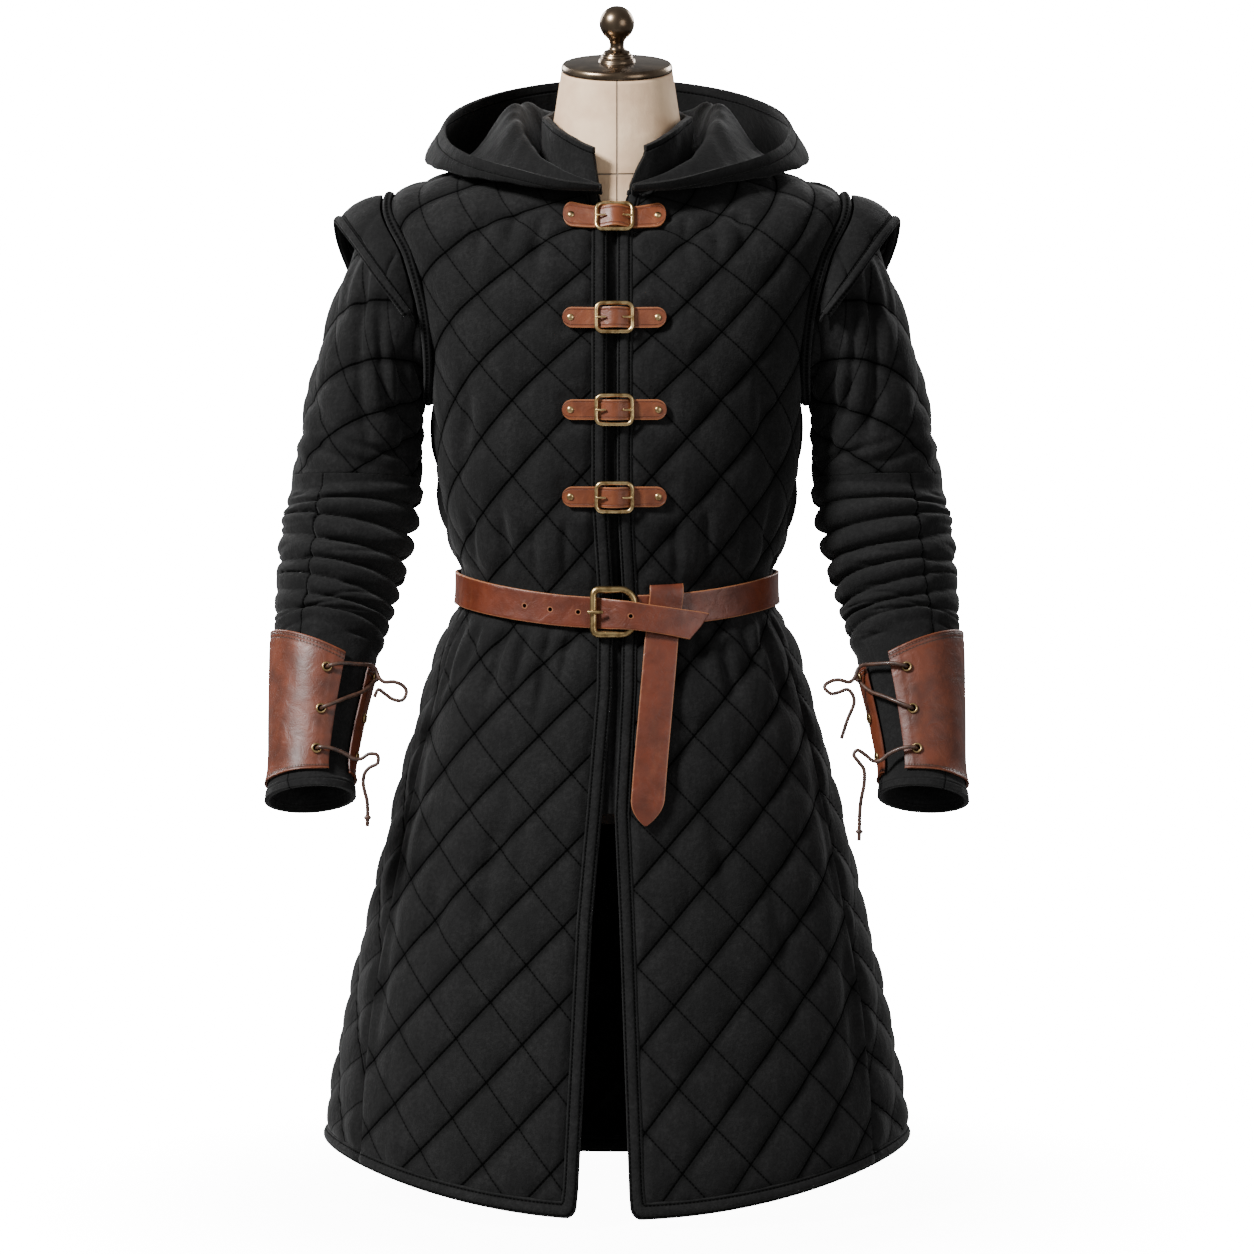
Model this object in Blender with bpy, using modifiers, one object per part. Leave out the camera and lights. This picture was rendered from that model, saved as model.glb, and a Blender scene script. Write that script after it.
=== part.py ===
"""A hooded, quilted gambeson, buckled and belted, worn by a limbless dress form on a four-legged stand.

Metres, +Z up, the front towards -Y. The origin is on the floor under the middle of the coat.
"left" and "right" are the wearer's, so left is at +X.

The coat is a wall of padded cloth over sections of the body (BODY) and of the arms (ARM). Each quilted piece is
laid out flat first, as its maker would cut it: an outline in the lengths measured round and along the body, the
stitch lines that cross it, and a raised top for each lozenge between them. Those points are then put on the body.
"""

import math

import bmesh
import bpy
import numpy as np
from mathutils import Matrix, Vector
from mathutils.geometry import delaunay_2d_cdt

SIDES = {"left": 1, "right": -1}

# Padded cloth
WALL = 0.0048  # at a stitch line
PUFF = 0.0055  # height of a lozenge above its stitch lines
LOZENGE_WIDTH = 0.074
LOZENGE_HEIGHT = 0.080
PUFF_SLOPE = 0.014  # a lozenge this near an edge has its whole height
GRAIN_LEAN = 0.055  # the skirt's grain leans outwards as it goes down
SEAM_GAP = 0.0007
LINING_STEP = (0.070, 0.060)  # spacing of the plain inner side's points, across and up
SHORTEST_EDGE = 0.0018

# Sections of the body, from the hem up. A section is level only where its three heights agree.
# name, height at the front, side and back, half width, depth to the front and back, squareness
BODY = (
    ("hem", 0.010, 0.064, 0.012, 0.314, 0.214, 0.214, 2.0),
    ("shin", 0.110, 0.140, 0.110, 0.301, 0.205, 0.205, 2.0),
    ("knee", 0.215, 0.225, 0.215, 0.283, 0.193, 0.195, 2.05),
    ("thigh", 0.320, 0.322, 0.320, 0.260, 0.178, 0.182, 2.1),
    ("seat", 0.420, 0.420, 0.420, 0.237, 0.163, 0.168, 2.15),
    ("hip", 0.510, 0.510, 0.510, 0.213, 0.148, 0.154, 2.2),
    ("under belt", 0.585, 0.590, 0.590, 0.189, 0.134, 0.134, 2.25),
    ("belt low", 0.620, 0.636, 0.640, 0.169, 0.124, 0.112, 2.3),
    ("belt high", 0.662, 0.680, 0.684, 0.167, 0.122, 0.108, 2.3),
    ("over belt", 0.705, 0.712, 0.720, 0.177, 0.130, 0.114, 2.3),
    ("ribs", 0.775, 0.775, 0.785, 0.190, 0.138, 0.121, 2.35),
    ("armpit", 0.858, 0.858, 0.865, 0.196, 0.141, 0.127, 2.4),
    ("chest", 0.925, 0.945, 0.945, 0.213, 0.139, 0.131, 2.55),
    ("yoke", 0.982, 1.020, 1.015, 0.231, 0.130, 0.128, 2.7),
    ("point", 1.022, 1.072, 1.066, 0.238, 0.118, 0.118, 2.7),
    ("shoulder", 1.051, 1.101, 1.104, 0.160, 0.104, 0.104, 2.3),
    ("neck", 1.074, 1.118, 1.132, 0.081, 0.092, 0.080, 2.0),
)
RING = {row[0]: index for index, row in enumerate(BODY)}

# The front opening, by height: where its middle lies to the left of the body's middle, and half its width.
OPENING = (
    (0.000, -0.014, 0.0285),
    (0.320, -0.0115, 0.0145),
    (0.430, -0.009, 0.0070),
    (0.560, 0.000, 0.0050),
    (0.660, 0.001, 0.0050),
    (0.760, -0.005, 0.0055),
    (1.045, -0.005, 0.0055),
    (1.076, -0.004, 0.0150),
)
BINDING_WIDTH = 0.015
BINDING_RISE = 0.0030
SIDE_SEAM = {"hem": 60, "knee": 66, "belt low": 72, "armpit": 90}  # degrees from the front
ARMHOLE_HALF_ANGLE = 26  # degrees
PLACKET_HALF_WIDTH = 0.0235
PLACKET_THICKNESS = 0.002
PLACKET_BOTTOM = 0.440
PLACKET_TOP = 1.045

# Sections of the left arm, from the armhole down. Across runs from the armpit to the outside.
# name, centre x, y, z, half width across, half depth, roll of across above level, forward pitch
ARM = (
    ("cap", 0.2376, 0.000, 0.953, 0.0850, 0.072, 68, 0),
    ("over arm", 0.2545, 0.000, 0.907, 0.0715, 0.075, 50, 0),
    ("biceps", 0.2650, 0.001, 0.861, 0.0640, 0.074, 30, 0),
    ("above elbow", 0.2740, 0.003, 0.812, 0.0650, 0.073, 11, 2),
    ("elbow", 0.2800, 0.004, 0.766, 0.0690, 0.071, 0, 7),
    ("forearm", 0.2920, -0.010, 0.705, 0.0680, 0.067, -1, 14),
    ("lower arm", 0.3020, -0.030, 0.642, 0.0620, 0.060, -3, 19),
    ("over wrist", 0.3085, -0.048, 0.594, 0.0570, 0.055, -4, 22),
    ("wrist", 0.3170, -0.077, 0.528, 0.0485, 0.048, -4, 24),
    ("over cuff", 0.3220, -0.101, 0.473, 0.0430, 0.043, -4, 24),
    ("cuff", 0.3230, -0.110, 0.4520, 0.0465, 0.046, -4, 24),
    ("sleeve end", 0.3232, -0.1145, 0.4415, 0.0475, 0.047, -4, 24),
)
ARM_ROW = {row[0]: index + 1 for index, row in enumerate(ARM)}
SLEEVE_OUT, SLEEVE_IN = 0.0056, 0.0060  # the sleeve starts this far outside the armhole, and within its edge

# Folds round the lower sleeve: rows of the arm where a fold's crest crosses its inside and its outside, and depth
FOLDS = (
    (5.18, 5.14, 0.0045),
    (5.62, 5.42, 0.0070),
    (6.10, 5.74, 0.0075),
    (6.54, 6.06, 0.0070),
    (6.92, 6.38, 0.0060),
    (7.27, 6.68, 0.0050),
    (7.60, 6.97, 0.0042),
    (7.92, 7.24, 0.0028),
)

BLACK_CLOTH = ("black cotton", (0.022, 0.021, 0.021), 0.9, 0.0)
BROWN_LEATHER = ("brown leather", (0.19, 0.065, 0.033), 0.45, 0.0)
LACE_LEATHER = ("lace leather", (0.085, 0.045, 0.032), 0.6, 0.0)
OLD_BRASS = ("old brass", (0.42, 0.31, 0.17), 0.35, 1.0)
DARK_BRASS = ("dark brass", (0.23, 0.18, 0.13), 0.32, 1.0)
LINEN = ("linen", (0.64, 0.57, 0.48), 0.85, 0.0)
DARK_WOOD = ("dark wood", (0.06, 0.035, 0.02), 0.5, 0.0)


def clear_scene():
    for old in list(bpy.data.objects):
        bpy.data.objects.remove(old)
    part = bpy.data.collections.new("gambeson")
    helpers = bpy.data.collections.new("cutters")
    helpers.hide_render = True
    for collection in (part, helpers):
        bpy.context.scene.collection.children.link(collection)
    return part, helpers


PART, CUTTERS = clear_scene()


def material_of(finish):
    name, colour, roughness, metallic = finish
    material = bpy.data.materials.get(name)
    if material is None:
        material = bpy.data.materials.new(name)
        material.use_nodes = True
        shader = material.node_tree.nodes["Principled BSDF"]
        shader.inputs["Base Color"].default_value = (*colour, 1)
        shader.inputs["Roughness"].default_value = roughness
        shader.inputs["Metallic"].default_value = metallic
    return material


def add_solid(name, finish, points, faces, smooth_under=50):
    """An object from points and faces that close it, with its faces turned outwards."""
    mesh = bpy.data.meshes.new(name)
    mesh.from_pydata([tuple(p) for p in points], [], faces)
    shape = bmesh.new()
    shape.from_mesh(mesh)
    bmesh.ops.recalc_face_normals(shape, faces=shape.faces)
    shape.to_mesh(mesh)
    shape.free()
    mesh.shade_smooth()
    mesh.set_sharp_from_angle(angle=math.radians(smooth_under))
    mesh.materials.append(material_of(finish))
    solid = bpy.data.objects.new(name, mesh)
    PART.objects.link(solid)
    return solid


# ---------------------------------------------------------------------------------------------------------------
# Curves through tables


def smooth(knots, values, at):
    """The value at one place on a smooth curve through the rows of a table."""
    knots, values = np.asarray(knots, float), np.asarray(values, float)
    slopes = np.gradient(values, knots, axis=0)
    low = int(np.clip(np.searchsorted(knots, at, side="right") - 1, 0, len(knots) - 2))
    width = knots[low + 1] - knots[low]
    u = (np.clip(at, knots[0], knots[-1]) - knots[low]) / width
    return (
        (1 + 2 * u) * (1 - u) ** 2 * values[low]
        + u * (1 - u) ** 2 * width * slopes[low]
        + u * u * (3 - 2 * u) * values[low + 1]
        + u * u * (u - 1) * width * slopes[low + 1]
    )


def through(points, step):
    """Points about step apart on a smooth curve through a few points."""
    points = np.asarray(points, float)
    lengths = np.linalg.norm(np.diff(points, axis=0), axis=1)
    along = np.concatenate([[0], np.cumsum(lengths)])
    count = max(2, round(along[-1] / step))
    return [smooth(along, points, at) for at in np.linspace(0, along[-1], count + 1)]


def unit(vector):
    return vector / np.linalg.norm(vector)


# ---------------------------------------------------------------------------------------------------------------
# The body's surface. A place on it is a length round from the middle of the front and a row of BODY.

BODY_SIZES = np.array([row[1:] for row in BODY])
BODY_ROWS = np.arange(len(BODY))
ROUND_ANGLES = np.linspace(0, math.pi, 361)


def section(row, angle):
    """Points of one section at some angles from the front, positive to the left."""
    front_z, side_z, back_z, half_width, front, back, squareness = smooth(BODY_ROWS, BODY_SIZES, row)
    sine, cosine = np.sin(angle), np.cos(angle)
    power = 2 / squareness
    x = half_width * np.sign(sine) * np.abs(sine) ** power
    y = np.where(cosine > 0, -front, back) * np.abs(cosine) ** power
    z = side_z + (np.where(cosine > 0, front_z, back_z) - side_z) * cosine**2
    return np.stack([x, y, z], axis=-1)


def lengths_round(row):
    """The length from the front to each of ROUND_ANGLES."""
    steps = np.diff(section(row, ROUND_ANGLES), axis=0)
    return np.concatenate([[0], np.cumsum(np.linalg.norm(steps, axis=1))])


def round_at_angle(angle, row):
    return math.copysign(np.interp(abs(angle), ROUND_ANGLES, lengths_round(row)), angle)


def angle_at_round(length, row):
    return math.copysign(np.interp(abs(length), lengths_round(row), ROUND_ANGLES), length)


def body_point(length, row, out=0.0):
    """The point at a length round on a row, moved out of the surface."""
    angle = angle_at_round(length, row)
    spot = section(row, angle)
    if out == 0:
        return spot
    around = section(row, angle + 0.02) - section(row, angle - 0.02)
    low, high = max(row - 0.05, 0), min(row + 0.05, len(BODY) - 1)
    up = section(high, angle) - section(low, angle)
    return spot + out * unit(np.cross(around, up))


FINE_ROWS = np.linspace(0, len(BODY) - 1, 16 * (len(BODY) - 1) + 1)
LENGTHS_UP = np.concatenate(
    [
        [0],
        np.cumsum(
            np.linalg.norm(
                np.diff([section(row, math.radians(45)) for row in FINE_ROWS], axis=0), axis=1
            )
        ),
    ]
)


def up_at_row(row):
    return float(np.interp(row, FINE_ROWS, LENGTHS_UP))


def row_at_up(length):
    return float(np.interp(length, LENGTHS_UP, FINE_ROWS))


def row_at_height(height, angle=0.0):
    heights = [section(row, angle)[2] for row in FINE_ROWS]
    return float(np.interp(height, heights, FINE_ROWS))


def opening_edge(side, row):
    """Length from the body's middle to the edge of one front, away from the other front."""
    height = section(row, 0.0)[2]
    middle, half = [np.interp(height, [r[0] for r in OPENING], [r[k] for r in OPENING]) for k in (1, 2)]
    return half + side * middle


def side_seam_length(row):
    angle = np.interp(row, [RING[name] for name in SIDE_SEAM], list(SIDE_SEAM.values()))
    return round_at_angle(math.radians(angle), row)


ARMHOLE_LOW, ARMHOLE_HIGH = RING["armpit"], RING["point"]


def armhole_place(turn):
    """Angle from the front and row of a point of the armhole: turn 0 is its top and 90 degrees its front."""
    angle = math.radians(90 - ARMHOLE_HALF_ANGLE * math.sin(turn))
    row = (ARMHOLE_LOW + ARMHOLE_HIGH) / 2 + (ARMHOLE_HIGH - ARMHOLE_LOW) / 2 * math.cos(turn)
    return angle, row


def armhole_point(turn, out=0.0):
    angle, row = armhole_place(turn)
    return body_point(round_at_angle(angle, row), row, out)


# ---------------------------------------------------------------------------------------------------------------
# Walls of cloth


def inside(points, outline):
    """Whether each point is inside an outline."""
    points, corners = np.asarray(points, float), np.asarray(outline, float)
    nexts = np.roll(corners, -1, axis=0)
    x, y = points[:, 0:1], points[:, 1:2]
    crosses = (corners[:, 1] > y) != (nexts[:, 1] > y)
    rise = np.where(nexts[:, 1] == corners[:, 1], 1, nexts[:, 1] - corners[:, 1])
    at = (nexts[:, 0] - corners[:, 0]) * (y - corners[:, 1]) / rise + corners[:, 0]
    return (crosses & (x < at)).sum(axis=1) % 2 == 1


def distance_to(points, outline):
    """How far each point is from an outline."""
    points, corners = np.asarray(points, float), np.asarray(outline, float)
    sides = np.roll(corners, -1, axis=0) - corners
    offset = points[:, None] - corners
    share = np.clip((offset * sides).sum(2) / (sides * sides).sum(1), 0, 1)
    return np.linalg.norm(offset - share[..., None] * sides, axis=2).min(axis=1)


def triangulated(points, edges, outline_count):
    """Triangles over an outline, the first outline_count points, that keep the edges given.
    It returns the points, the triangles, and for each point the input points that it stands for."""
    loop = list(range(outline_count))
    spots, _, faces, origins, _, _ = delaunay_2d_cdt(
        [Vector(p) for p in points], edges, [loop], 0, 1e-5, True
    )
    spots = np.array([tuple(p) for p in spots])
    middles = np.array([spots[list(face)].mean(axis=0) for face in faces])
    keep = inside(middles, np.asarray(points, float)[:outline_count])
    return spots, [tuple(face) for face, kept in zip(faces, keep) if kept], origins


def without_short_edges(spots, faces, origins, outline_count):
    """The same triangles, with points that are too near one another brought together. Outline points stay."""
    stands_for = list(range(len(spots)))

    def kept(i):
        while stands_for[i] != i:
            i = stands_for[i]
        return i

    fixed = [any(origin < outline_count for origin in found) for found in origins]
    pairs = {tuple(sorted(pair)) for face in faces for pair in zip(face, face[1:] + face[:1])}
    for a, b in sorted(pairs, key=lambda pair: np.linalg.norm(spots[pair[0]] - spots[pair[1]])):
        a, b = kept(a), kept(b)
        if a == b or np.linalg.norm(spots[a] - spots[b]) > SHORTEST_EDGE or (fixed[a] and fixed[b]):
            continue
        if fixed[b]:
            a, b = b, a
        stands_for[b] = a
    moved = [tuple(kept(i) for i in face) for face in faces]
    return [face for face in moved if len(set(face)) == 3]


def rim_of(faces):
    """The points round a patch of faces, in order."""
    edges = {(a, b) for face in faces for a, b in zip(face, face[1:] + face[:1])}
    following = {a: b for a, b in edges if (b, a) not in edges}
    start = min(following)
    loop = [start]
    while following[loop[-1]] != start:
        loop.append(following[loop[-1]])
    return loop


def cloth_wall(name, finish, outline, place, bumps=(), lines=(), thickness=WALL, back=0.0, step=LINING_STEP):
    """A wall of cloth over an outline. bumps are places and their heights above the face of the cloth, and lines
    are pairs of places that keep an edge between them. place puts a flat point on the body. step is the spacing
    of the inner side's points, and without it they lie under the outer side's."""
    places = [tuple(p) for p in outline]
    heights = [0.0] * len(places)
    for spot, height in bumps:
        places.append(spot)
        heights.append(height)
    edges = []
    for start, end in lines:
        edges.append((len(places), len(places) + 1))
        places += [start, end]
        heights += [0.0, 0.0]
    spots, face_side, origins = triangulated(places, edges, len(outline))
    face_side = without_short_edges(spots, face_side, origins, len(outline))
    used = sorted({i for face in face_side for i in face})
    renumbered = {old: new for new, old in enumerate(used)}
    face_side = [tuple(renumbered[i] for i in face) for face in face_side]
    spots = spots[used]
    rises = [max((heights[i] for i in origins[old]), default=0.0) for old in used]
    rim = rim_of(face_side)

    lining_outline = spots[rim]
    if step is None:
        lining_spots, at = spots, {k: i for k, i in enumerate(rim)}
        lining_side = face_side
    else:
        lining_spots, lining_side, at = plain_lining(lining_outline, step)

    first = len(spots)
    points = [place(*spot, back + rise) for spot, rise in zip(spots, rises)]
    points += [place(*spot, back - thickness) for spot in lining_spots]
    faces = list(face_side) + [tuple(first + i for i in reversed(face)) for face in lining_side]
    lining_rim = [first + at[k] for k in range(len(rim))]
    for k in range(len(rim)):
        after = (k + 1) % len(rim)
        faces.append((rim[after], rim[k], lining_rim[k], lining_rim[after]))
    return add_solid(name, finish, points, faces, 7)


def plain_lining(lining_outline, step):
    """Sparse triangles within an outline, and the point that stands for each of the outline's."""
    low, high = lining_outline.min(axis=0), lining_outline.max(axis=0)
    counts = np.maximum(np.ceil((high - low) / np.array(step)).astype(int), 1)
    net = np.stack(
        np.meshgrid(*[np.linspace(low[k], high[k], counts[k] + 1) for k in (0, 1)]), axis=-1
    ).reshape(-1, 2)
    kept = inside(net, lining_outline) & (distance_to(net, lining_outline) > step[0] * 0.22)
    flat = [tuple(p) for p in lining_outline] + [tuple(p) for p in net[kept]]
    spots, faces, origins = triangulated(flat, [], len(lining_outline))
    return spots, faces, {origin: new for new, found in enumerate(origins) for origin in found}


def quilting(outline, grain_lean=0.0, lean_below=0.0, pressed=(), puff=PUFF):
    """Stitch lines across an outline, and the raised tops of the lozenges between them.
    pressed are places with the reach within which something lies on the cloth and flattens it."""
    corners = np.asarray(outline, float)
    low, high = corners.min(axis=0), corners.max(axis=0)
    half = np.array([LOZENGE_WIDTH / 2, LOZENGE_HEIGHT / 2])
    lean_room = grain_lean * max(0.0, lean_below - low[1])
    first = np.floor((low - [lean_room, 0]) / half).astype(int) - 1
    last = np.ceil(high / half).astype(int) + 1

    def laid(i, j):
        up = j * half[1]
        return (i * half[0] + grain_lean * max(0.0, lean_below - up), up)

    lines, tops = [], []
    for i in range(first[0], last[0] + 1):
        for j in range(first[1], last[1] + 1):
            if (i + j) % 2 == 0:
                lines += [(laid(i, j), laid(i + 1, j + 1)), (laid(i, j), laid(i + 1, j - 1))]
            else:
                tops.append(laid(i, j))
    room = distance_to([line[0] for line in lines], outline) < np.linalg.norm(half) * 1.01
    within = inside([line[0] for line in lines], outline) | inside([line[1] for line in lines], outline)
    lines = [line for line, kept in zip(lines, room | within) if kept]
    margins = distance_to(tops, outline)
    within = inside(tops, outline)
    bumps = []
    for spot, margin, kept in zip(tops, margins, within):
        if not kept or margin < PUFF_SLOPE * 0.35:
            continue
        height = puff * min(1.0, margin / PUFF_SLOPE)
        for centre, half_size, left_over in pressed:
            reach = np.abs(np.subtract(spot, centre)) - half_size
            if reach.max() < PUFF_SLOPE:
                height = min(height, left_over + max(0.0, reach.max()) * 0.3)
        bumps.append((spot, height))
    return lines, bumps


def grid_solid(name, finish, outer, inner, closed_round=False, sharp=40):
    """A wall between two grids of points. Rows run along the piece, and a row closes on itself or ends."""
    rows, columns = len(outer), len(outer[0])
    first = rows * columns
    points = [p for row in outer for p in row] + [p for row in inner for p in row]
    spans = columns if closed_round else columns - 1
    faces = []
    for i in range(rows - 1):
        for j in range(spans):
            a, b = i * columns + j, i * columns + (j + 1) % columns
            c, d = b + columns, a + columns
            faces.append((a, b, c, d))
            faces.append((first + d, first + c, first + b, first + a))
    for j in range(spans):
        after = (j + 1) % columns
        for row in (0, rows - 1):
            a, b = row * columns + j, row * columns + after
            faces.append((a, b, first + b, first + a) if row else (b, a, first + a, first + b))
    if not closed_round:
        for i in range(rows - 1):
            for column in (0, columns - 1):
                a, b = i * columns + column, (i + 1) * columns + column
                faces.append((a, b, first + b, first + a) if column == 0 else (b, a, first + a, first + b))
    return add_solid(name, finish, points, faces, sharp)


def capped_loft(name, finish, rings, sharp=40):
    """A solid through closed rings of points, with a flat cap on each end."""
    count = len(rings[0])
    points = [p for ring in rings for p in ring]
    faces = []
    for i in range(len(rings) - 1):
        for j in range(count):
            a, b = i * count + j, i * count + (j + 1) % count
            faces.append((a, b, b + count, a + count))
    faces.append(tuple(range(count)))
    faces.append(tuple((len(rings) - 1) * count + j for j in range(count)))
    return add_solid(name, finish, points, faces, sharp)


# ---------------------------------------------------------------------------------------------------------------
# Tubes, cutters and unions


def tube(name, finish, points, radius, resolution=2, closed=False):
    """A round cord, cast wire or piping along some points."""
    path = bpy.data.curves.new(name, "CURVE")
    path.dimensions = "3D"
    path.bevel_depth = radius
    path.bevel_resolution = resolution
    path.use_fill_caps = not closed
    spline = path.splines.new("POLY")
    spline.points.add(len(points) - 1)
    for knot, spot in zip(spline.points, points):
        knot.co = (*spot, 1)
    spline.use_cyclic_u = closed
    cord = bpy.data.objects.new(name, path)
    PART.objects.link(cord)
    path.materials.append(material_of(finish))
    return cord


def as_mesh(curve):
    """The same tube as a closed mesh, which a Boolean can take."""
    bpy.context.view_layer.update()
    mesh = bpy.data.meshes.new_from_object(curve.evaluated_get(bpy.context.evaluated_depsgraph_get()))
    shape = bmesh.new()
    shape.from_mesh(mesh)
    bmesh.ops.remove_doubles(shape, verts=shape.verts, dist=0.00001)
    bmesh.ops.recalc_face_normals(shape, faces=shape.faces)
    shape.to_mesh(mesh)
    shape.free()
    name = curve.name
    place = curve.matrix_world.copy()
    bpy.data.objects.remove(curve)
    solid = bpy.data.objects.new(name, mesh)
    solid.matrix_world = place
    PART.objects.link(solid)
    return solid


def use_up(tool):
    """Moves a cutter, or a piece that has been joined on, out of the part."""
    for collection in list(tool.users_collection):
        collection.objects.unlink(tool)
    CUTTERS.objects.link(tool)
    tool.hide_render = True
    tool.display_type = "WIRE"


def combine(solid, tool, operation):
    change = solid.modifiers.new(tool.name, "BOOLEAN")
    change.operation = operation
    change.object = tool
    use_up(tool)


def primitive(name, finish, add, turn=None, at=(0, 0, 0), scale=(1, 1, 1), **sizes):
    """A named primitive, with its scale applied, turned by a matrix and put in its place."""
    add(**sizes)
    solid = bpy.context.object
    solid.name = solid.data.name = name
    solid.data.transform(Matrix.Diagonal((*scale, 1)))
    solid.data.materials.append(material_of(finish))
    solid.data.shade_smooth()
    solid.data.set_sharp_from_angle(angle=math.radians(40))
    for collection in list(solid.users_collection):
        collection.objects.unlink(solid)
    PART.objects.link(solid)
    solid.matrix_world = Matrix.Translation(at) @ (turn.to_4x4() if turn else Matrix.Identity(4))
    return solid


def turned_to(normal, up=(0, 0, 1)):
    """A rotation that takes Z to a normal and Y as near as it can to up."""
    z = Vector(normal).normalized()
    x = Vector(up).cross(z).normalized()
    return Matrix((x, z.cross(x), z)).transposed()


# ---------------------------------------------------------------------------------------------------------------
# The dress form and its stand

# name, height at the front, side and back, half width, depth to the front and back, squareness
FORM = (
    ("base", 0.430, 0.430, 0.430, 0.150, 0.110, 0.114, 2.2),
    ("hip", 0.500, 0.500, 0.500, 0.160, 0.116, 0.120, 2.2),
    ("waist", 0.660, 0.660, 0.660, 0.142, 0.100, 0.088, 2.2),
    ("ribs", 0.780, 0.780, 0.780, 0.162, 0.113, 0.098, 2.3),
    ("bust", 0.900, 0.900, 0.900, 0.172, 0.117, 0.107, 2.4),
    ("yoke", 0.975, 0.995, 0.985, 0.180, 0.107, 0.104, 2.5),
    ("arm plate", 1.010, 1.048, 1.044, 0.182, 0.096, 0.097, 2.5),
    ("shoulder", 1.040, 1.084, 1.088, 0.1428, 0.0835, 0.0852, 2.2),
    ("neck root", 1.068, 1.102, 1.119, 0.0774, 0.0799, 0.0697, 2.0),
    ("low neck", 1.108, 1.132, 1.150, 0.0715, 0.072, 0.066, 2.0),
    ("neck", 1.152, 1.168, 1.184, 0.0655, 0.064, 0.063, 2.0),
    ("neck top", 1.1960, 1.2080, 1.2200, 0.0595, 0.058, 0.058, 2.0),
)
FORM_SIDES = 18
NECK_TILT = 11.7  # degrees that the cap leans forwards
CAP_CENTRE = (0.0, 0.0, 1.2084)
# radius and height of the turned cap and its finial, from the middle of the underside
CAP_PROFILE = (
    (0.0575, 0.0),
    (0.0592, 0.0015),
    (0.0592, 0.0075),
    (0.0570, 0.0092),
    (0.0190, 0.0104),
    (0.0190, 0.0145),
    (0.0150, 0.0165),
    (0.0148, 0.0195),
    (0.0100, 0.0225),
    (0.0072, 0.0270),
    (0.0085, 0.0315),
)
FINIAL_BALL = (0.0475, 0.0175)  # height of its centre, radius
BOARD = (0.230, 0.170, 0.018)
LEG_TOP, LEG_FOOT = (0.088, 0.060), (0.104, 0.084)
LEG_WIDTH = 0.028


def make_form():
    sizes = np.array([row[1:] for row in FORM])
    rings = []
    for k in range(len(FORM)):
        front_z, side_z, back_z, half_width, front, back, squareness = sizes[k]
        fall = 1 if FORM[k][0] in ("low neck", "neck", "neck top") else 2
        ring = []
        for j in range(FORM_SIDES):
            angle = 2 * math.pi * j / FORM_SIDES
            sine, cosine = math.sin(angle), math.cos(angle)
            x = half_width * math.copysign(abs(sine) ** (2 / squareness), sine)
            y = (-front if cosine > 0 else back) * abs(cosine) ** (2 / squareness)
            z = side_z + ((front_z if cosine > 0 else back_z) - side_z) * abs(cosine) ** fall
            ring.append((x, y, z))
        rings.append(ring)
    capped_loft("form_body", LINEN, rings, 50)

    profile = [(0.0, CAP_PROFILE[0][1])] + list(CAP_PROFILE)
    middle, radius = FINIAL_BALL
    for angle in (-60, -30, 0, 30, 60):
        tip = math.radians(angle)
        profile.append((radius * math.cos(tip), middle + radius * math.sin(tip)))
    profile.append((0.0, middle + radius))
    mesh = bpy.data.meshes.new("form_cap")
    count = len(profile)
    mesh.from_pydata([(r, 0, z) for r, z in profile[::-1]], [(k, k + 1) for k in range(count - 1)], [])
    cap = bpy.data.objects.new("form_cap", mesh)
    PART.objects.link(cap)
    screw = cap.modifiers.new("turned", "SCREW")
    screw.steps = screw.render_steps = 14
    screw.use_merge_vertices = True
    screw.merge_threshold = 0.0001
    mesh.materials.append(material_of(DARK_BRASS))
    cap.location = CAP_CENTRE
    cap.rotation_euler = (math.radians(NECK_TILT), 0, 0)

    top = FORM[0][1] - 0.0003
    stand = primitive(
        "stand",
        DARK_WOOD,
        bpy.ops.mesh.primitive_cube_add,
        at=(0, 0, top - BOARD[2] / 2),
        scale=BOARD,
        size=1,
    )
    for x_side in (-1, 1):
        for y_side in (-1, 1):
            leg = bpy.data.meshes.new("leg")
            half = LEG_WIDTH / 2
            corners = [(-half, -half), (half, -half), (half, half), (-half, half)]
            ends = []
            for (x, y), z, share in ((LEG_FOOT, 0.0, 0.8), (LEG_TOP, top - 0.006, 1.0)):
                ends += [(x * x_side + cx * share, y * y_side + cy * share, z) for cx, cy in corners]
            faces = [(3, 2, 1, 0), (4, 5, 6, 7)] + [(k, (k + 1) % 4, (k + 1) % 4 + 4, k + 4) for k in range(4)]
            leg.from_pydata(ends, [], faces)
            piece = bpy.data.objects.new("leg", leg)
            PART.objects.link(piece)
            combine(stand, piece, "UNION")


# ---------------------------------------------------------------------------------------------------------------
# Fronts, back and their bindings

# height of each buckle's middle, and of its tabs' undersides above the cloth
CLOSURES = ((1.0500, 0.0044), (0.9480, 0.0034), (0.8530, 0.0036), (0.7620, 0.0033))
CLOSURE_MIDDLE = -0.0025
TAB_END = 0.0540  # from the buckle's middle to the end of each tab
TAB_HALF_HEIGHT = 0.0105
TAB_THICKNESS = 0.0026
BELT_ROW = 7.5
BELT_HALF_WIDTH = 0.0175
BELT_ROWS_HALF = 0.40  # the belt's half width, in rows
HOOD_ROW = 15.3

TOP_ROW = len(BODY) - 1
EDGE = BINDING_WIDTH + SEAM_GAP


def spaced(start, end, step):
    return np.linspace(start, end, max(2, round(abs(end - start) / step) + 1))


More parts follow.
